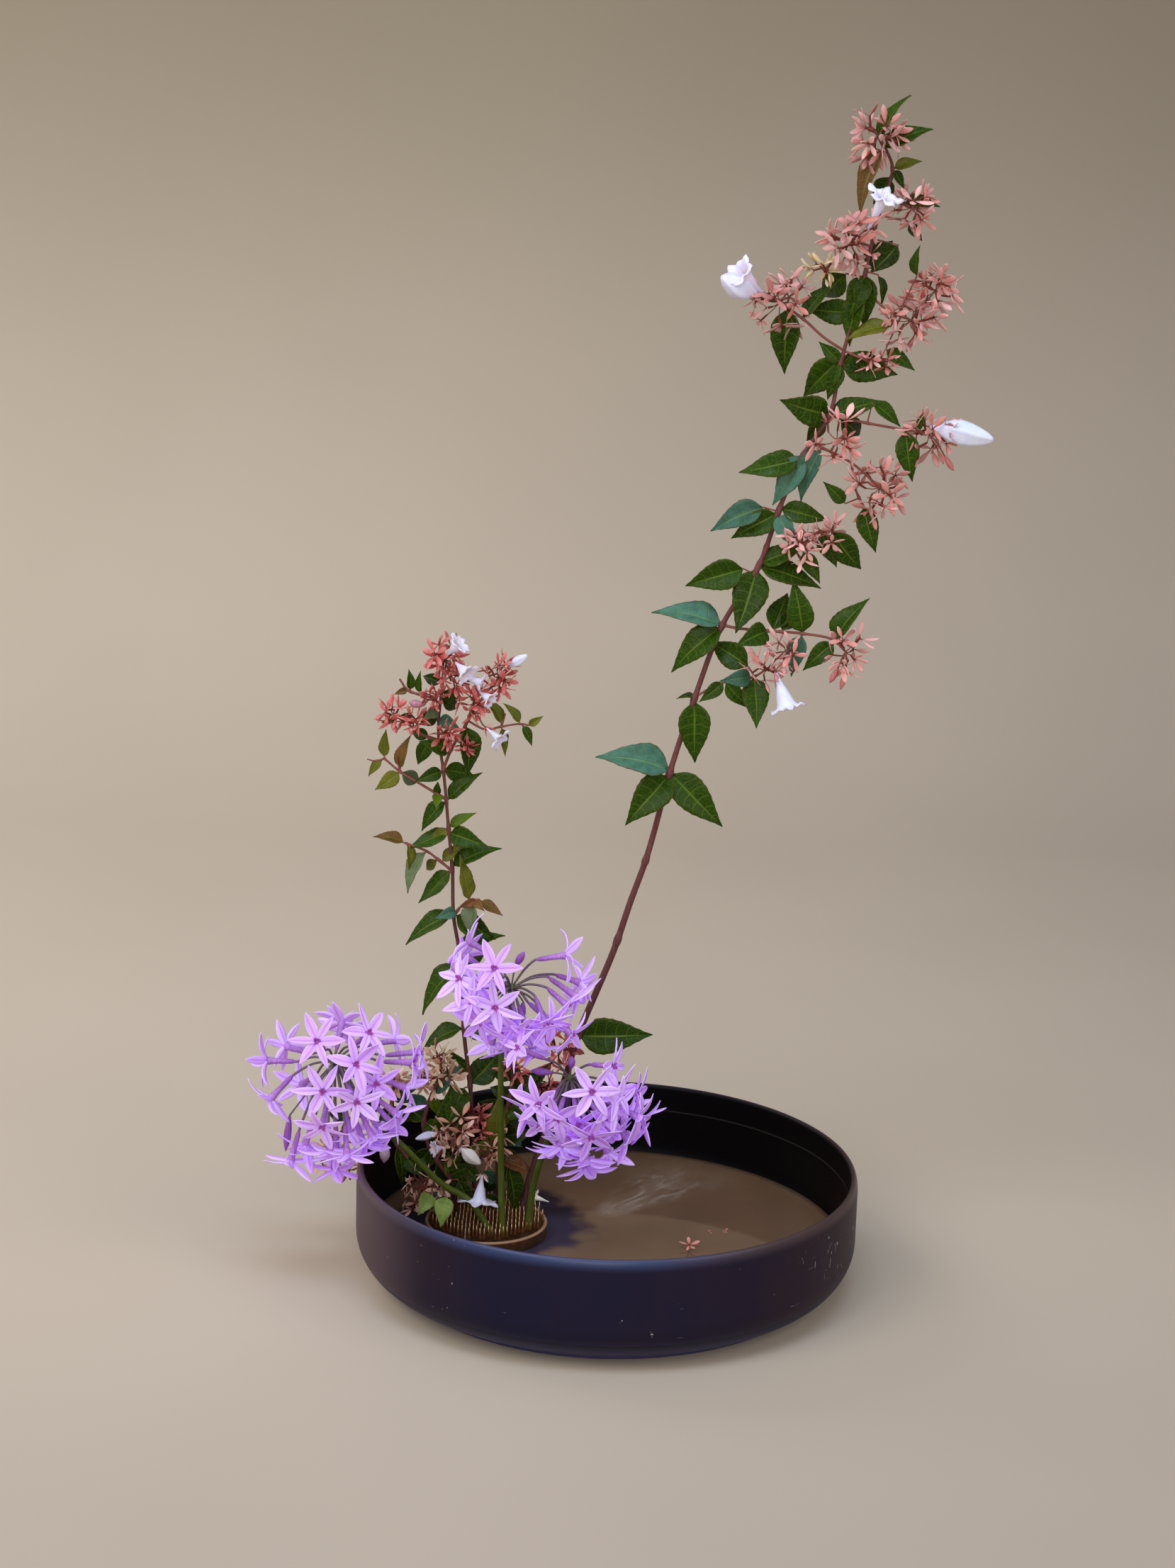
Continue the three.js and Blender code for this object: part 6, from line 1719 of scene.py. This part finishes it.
class HolderSettings(bpy.types.PropertyGroup):
    pin_pitch: length_setting("Pin pitch", "Distance between pins", PIN_PITCH)
    pin_height: length_setting("Pin height", "Height of the pins", PIN_HEIGHT)
    pin_radius: length_setting("Pin radius", "Radius of a pin at its foot", PIN_RADIUS)


class StageSettings(bpy.types.PropertyGroup):
    floor: colour_setting("Floor", "Colour of floor and backdrop", shade(204, 189, 169))
    key_power: bpy.props.FloatProperty(
        name="Key light", description="Power of the large light in watts", default=29
    )


def arc(centre, radius, start, end, count, high=None):
    """Points (x, z) on an arc, its angles in degrees, of another radius upwards if given."""
    x, z = centre
    high = high or radius
    turns = np.radians(np.linspace(start, end, count))
    return [(x + radius * math.cos(turn), z + high * math.sin(turn)) for turn in turns]


def inner_profile(settings):
    """The inside of the bowl from the lip to the middle of its floor."""
    inner = settings.radius - settings.wall
    bend = INNER_ROUND * MM
    floor = FLOOR_Z * MM
    return [
        (inner, settings.height - settings.wall / 2),
        (inner, settings.height * 0.7),
        *arc((inner - bend, floor + bend), bend, 0, -90, 14),
        (inner * 0.4, floor),
        (0, floor),
    ]


def turned_piece(name, profile, finish, sides=192):
    mesh = bpy.data.meshes.new(name)
    mesh.from_pydata([(x, 0, z) for x, z in profile], [], [])
    piece = shaped(name, mesh, Kit.get("turned"), rows=len(profile), sides=sides, surface=finish)
    tidy(piece.data)
    return piece


class IKEBANA_OT_bowl(bpy.types.Operator):
    """Turn the low stoneware bowl from its profile"""

    bl_idname = "ikebana.bowl"
    bl_label = "Bowl"

    def execute(self, context):
        settings = context.scene.ikebana_bowl
        radius, height, lip = settings.radius, settings.height, settings.wall / 2
        foot, foot_top, shoulder = FOOT_RADIUS * MM, FOOT_HEIGHT * MM, SHOULDER * MM
        lip_round = LIP_ROUND * MM
        profile = [
            (0, 0), (foot - 1.2 * MM, 0), (foot - 0.3 * MM, 0.35 * MM), (foot, 1.2 * MM),
            (foot, foot_top - 0.6 * MM), (foot - 0.5 * MM, foot_top),
            *arc((radius - shoulder, foot_top + shoulder), shoulder, -86, 0, 16),
            (radius, 45 * MM),
            *arc((radius - lip, height - lip_round), lip, 0, 90, 12, lip_round),
            *arc((radius - lip, height - lip), -lip, 90, 0, 6, lip)[1:],
            *inner_profile(settings)[1:],
        ]
        finish = glaze_finish(tuple(settings.glaze))
        settle(turned_piece("bowl_glazed", profile, finish), "bowl")
        return {"FINISHED"}


class IKEBANA_OT_water(bpy.types.Operator):
    """Fill the bowl round the pin holder with still water"""

    bl_idname = "ikebana.water"
    bl_label = "Water"

    def execute(self, context):
        settings = context.scene.ikebana_bowl
        level = settings.water_level
        gap = 0.25 * MM
        wetted = [
            (x - gap, z + gap)
            for x, z in inner_profile(settings)
            if x > settings.radius / 2 and z < level - 1 * MM
        ]
        reach = wetted[0][0]
        profile = [
            (0, FLOOR_Z * MM + gap), *reversed(wetted), (reach + 0.6 * MM, level - 0.4 * MM),
            (reach + 0.4 * MM, level), (reach - 4 * MM, level), (0, level),
        ]
        settle(turned_piece("water_still", profile, Kit.get("water")), "water")
        return {"FINISHED"}


class IKEBANA_OT_pin_holder(bpy.types.Operator):
    """Set the round pin holder with its rows of pins"""

    bl_idname = "ikebana.pin_holder"
    bl_label = "Pin holder"

    def execute(self, context):
        settings = context.scene.ikebana_holder
        base, top, radius = (FLOOR_Z + 0.3) * MM, HOLDER_TOP * MM, HOLDER_RADIUS * MM
        profile = [
            (0, base), (radius - 0.8 * MM, base), (radius, base + 0.8 * MM),
            (radius, top - 0.3 * MM), (radius - 0.5 * MM, top + 0.4 * MM),
            (radius - 1.7 * MM, top + 0.4 * MM), (radius - 2 * MM, top), (0, top),
        ]
        brass = Kit.get("brass")
        plate = turned_piece("holder_plate", profile, brass, 96)
        centre = Vector((HOLDER_X, HOLDER_Y, 0)) * MM
        lowered = top - 0.5 * MM
        plate.data.transform(Matrix.Translation((0, 0, -lowered)))
        piece = shaped(
            "holder_pins", plate.data, Kit.get("pins"), radius=radius - 2.4 * MM,
            pitch=settings.pin_pitch, height=settings.pin_height, thickness=settings.pin_radius,
            surface=brass,
        )
        piece.data.transform(Matrix.Translation(centre + Vector((0, 0, lowered))))
        bpy.data.objects.remove(plate)
        settle(piece, "pin_holder")
        return {"FINISHED"}


class IKEBANA_OT_branches(bpy.types.Operator):
    """Grow the wood and leaves of every abelia branch"""

    bl_idname = "ikebana.branches"
    bl_label = "Branches"

    def execute(self, context):
        for index, plan in enumerate(BRANCHES):
            draw = random.Random(index)
            growth = Growth()
            sprays = [bunches for branch, _, bunches in SPRAYS.values() if branch is plan]
            add_wood(growth, plan, sprays)
            for row in plan["leaves"]:
                add_leaf(growth, plan, row, draw)
            piece = growth.grow(f"{plan['name']}_grown", "leaf_shapes", "bark", "leaf")
            settle(piece, plan["name"])
        return {"FINISHED"}


class IKEBANA_OT_calyxes(bpy.types.Operator):
    """Grow the bunches of calyxes on the twigs"""

    bl_idname = "ikebana.calyxes"
    bl_label = "Calyxes"

    def execute(self, context):
        for index, (node, (_, tint, bunches)) in enumerate(SPRAYS.items()):
            growth = Growth()
            first = spot(*bunches[0][:3])
            add_spray(growth, node, tint, bunches, random.Random(SPRAY_SEED + index))
            for spray, base, tip, toward, radius, bud_tint in BUDS:
                if spray == node:
                    ends = spot(*base, toward), spot(*tip, toward)
                    add_bud(growth, first, *ends, radius, TWIG_TINT, bud_tint)
            for spray, _, blooms in FLOWERS.values():
                if spray == node:
                    for _, *ends, _ in blooms:
                        add_flower_stalk(growth, first, *bloom_ends(*ends), SEPAL_TINTS[tint][0])
            piece = growth.grow(f"{node}_sepals", "calyx_shapes", "bark", "sepal", 6)
            settle(piece, node)
        return {"FINISHED"}


class IKEBANA_OT_flowers(bpy.types.Operator):
    """Open the white abelia flowers and drop one with a calyx on the water"""

    bl_idname = "ikebana.flowers"
    bl_label = "Flowers"

    def execute(self, context):
        for index, (node, (_, tint, blooms)) in enumerate(FLOWERS.items()):
            placed = [(kind, *bloom_ends(*ends), reach) for kind, *ends, reach in blooms]
            grow_blooms(node, index, tint, placed)
        foot, mouth = (Vector(place) * MM for place in FALLEN_FLOWER)
        grow_blooms("fallen_flower", len(FLOWERS), CREAM_TINT, [(0, foot, mouth, 4.5)])
        growth = Growth()
        for x, y, size, lean_x in FALLEN_SEPALS:
            centre = Vector((x * MM, y * MM, WATER_LEVEL + size * 0.36 * MM))
            axes = axes_along(Vector((lean_x, -0.3, 1)), x)
            growth.shape(4, centre, axes, (size * MM,) * 3, FALLEN_SEPAL_TINT)
        piece = growth.grow("fallen_calyx_sepals", "calyx_shapes", "bark", "sepal")
        settle(piece, "fallen_calyx")
        return {"FINISHED"}


class IKEBANA_OT_umbels(bpy.types.Operator):
    """Grow the society garlic: three bare scapes, each with an umbel of florets"""

    bl_idname = "ikebana.umbels"
    bl_label = "Umbels"

    def execute(self, context):
        for index, (side, plan) in enumerate(UMBELS.items()):
            line = grow_scape(side, plan)
            grow_umbel(side, plan, line, random.Random(UMBEL_SEED + index))
        return {"FINISHED"}


def backdrop():
    """A floor that bends up into the backdrop behind the arrangement."""
    profile = [
        (-STAGE_HALF, 0),
        (0, 0),
        *arc((STAGE_BACK - STAGE_BEND, STAGE_BEND), STAGE_BEND, -90, 0, 16),
        (STAGE_BACK, STAGE_HALF),
    ]
    across = (-STAGE_HALF, 0, STAGE_HALF)
    points = [(x, y, z) for y, z in profile for x in across]
    return mesh_of("studio_floor", points, quads(len(profile), 3, 2), {})


def area_light(name, place, target, size, power, colour):
    light = bpy.data.lights.new(name, "AREA")
    light.shape = "RECTANGLE"
    light.size, light.size_y = size
    light.energy = power
    light.color = colour
    lamp = bpy.data.objects.new(name, light)
    lamp.location = place
    lamp.rotation_euler = (Vector(target) - Vector(place)).to_track_quat("-Z", "Y").to_euler()
    bpy.context.scene.collection.objects.link(lamp)


def camera_at_eye():
    """The camera, its axes pitched down and rolled as the photograph's were."""
    camera = bpy.data.cameras.new("eye")
    camera.lens = LENS
    camera.sensor_width = 36
    forward = Vector((0, math.cos(EYE_PITCH), -math.sin(EYE_PITCH)))
    level = Vector((1, 0, 0))
    right = math.cos(EYE_ROLL) * level + math.sin(EYE_ROLL) * level.cross(forward)
    turn = Matrix((right, right.cross(forward), -forward)).transposed().to_4x4()
    view = bpy.data.objects.new("eye", camera)
    view.matrix_world = Matrix.Translation(EYE) @ turn
    bpy.context.scene.collection.objects.link(view)
    return view


class IKEBANA_OT_stage(bpy.types.Operator):
    """Set the pale floor with its backdrop, the soft lights and the camera"""

    bl_idname = "ikebana.stage"
    bl_label = "Stage"

    def execute(self, context):
        settings = context.scene.ikebana_stage
        floor = bpy.data.objects.new("studio_floor", backdrop())
        floor.data.materials.append(ground_finish(tuple(settings.floor)))
        context.scene.collection.objects.link(floor)

        middle = (0, 0, 0.3)
        area_light("key_light", (-1.5, -1.5, 2), middle, (1.6, 1.6), settings.key_power, WARM)
        area_light("fill_light", (1.9, -1.5, 1.6), middle, (1.8, 1.8), 18, WARM)
        area_light("sky_light", (0, -0.9, 2.5), (0, 0, 0), (1.4, 0.8), 22, COOL)
        area_light("floor_light", (-1.3, 0.8, 1.2), (-0.5, 1, 0), (0.8, 0.8), 7, WARM)
        area_light("front_light", (-0.2, -2.3, 0.9), (0, 0, 0.2), (1.2, 0.7), 13, WARM)
        world = bpy.data.worlds.new("studio")
        world.use_nodes = True
        background = world.node_tree.nodes["Background"].inputs
        background["Color"].default_value = (0.84, 0.88, 1, 1)
        background["Strength"].default_value = 0.38
        context.scene.world = world
        context.scene.view_settings.view_transform = "Standard"
        context.scene.camera = camera_at_eye()
        return {"FINISHED"}


class IKEBANA_PT_panel(bpy.types.Panel):
    """The arrangement's pieces, in the order in which they are made"""

    bl_label = "Ikebana arrangement"
    bl_space_type = "VIEW_3D"
    bl_region_type = "UI"
    bl_category = "Ikebana"

    def draw(self, context):
        for group, kind in SETTINGS.items():
            for name in kind.__annotations__:
                self.layout.prop(getattr(context.scene, group), name)
        for operator in OPERATORS:
            self.layout.operator(operator.bl_idname)


OPERATORS = (
    IKEBANA_OT_bowl,
    IKEBANA_OT_water,
    IKEBANA_OT_pin_holder,
    IKEBANA_OT_branches,
    IKEBANA_OT_calyxes,
    IKEBANA_OT_flowers,
    IKEBANA_OT_umbels,
    IKEBANA_OT_stage,
)
SETTINGS = {
    "ikebana_bowl": BowlSettings,
    "ikebana_holder": HolderSettings,
    "ikebana_stage": StageSettings,
}


def register():
    for kind in (*SETTINGS.values(), *OPERATORS, IKEBANA_PT_panel):
        bpy.utils.register_class(kind)
    for name, kind in SETTINGS.items():
        setattr(bpy.types.Scene, name, bpy.props.PointerProperty(type=kind))


def unregister():
    for name in SETTINGS:
        delattr(bpy.types.Scene, name)
    for kind in (IKEBANA_PT_panel, *OPERATORS, *SETTINGS.values()):
        bpy.utils.unregister_class(kind)


def main():
    register()
    for operator in OPERATORS:
        group, word = operator.bl_idname.split(".")
        getattr(getattr(bpy.ops, group), word)()
    Kit.clear()
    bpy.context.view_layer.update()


if __name__ == "__main__":
    main()
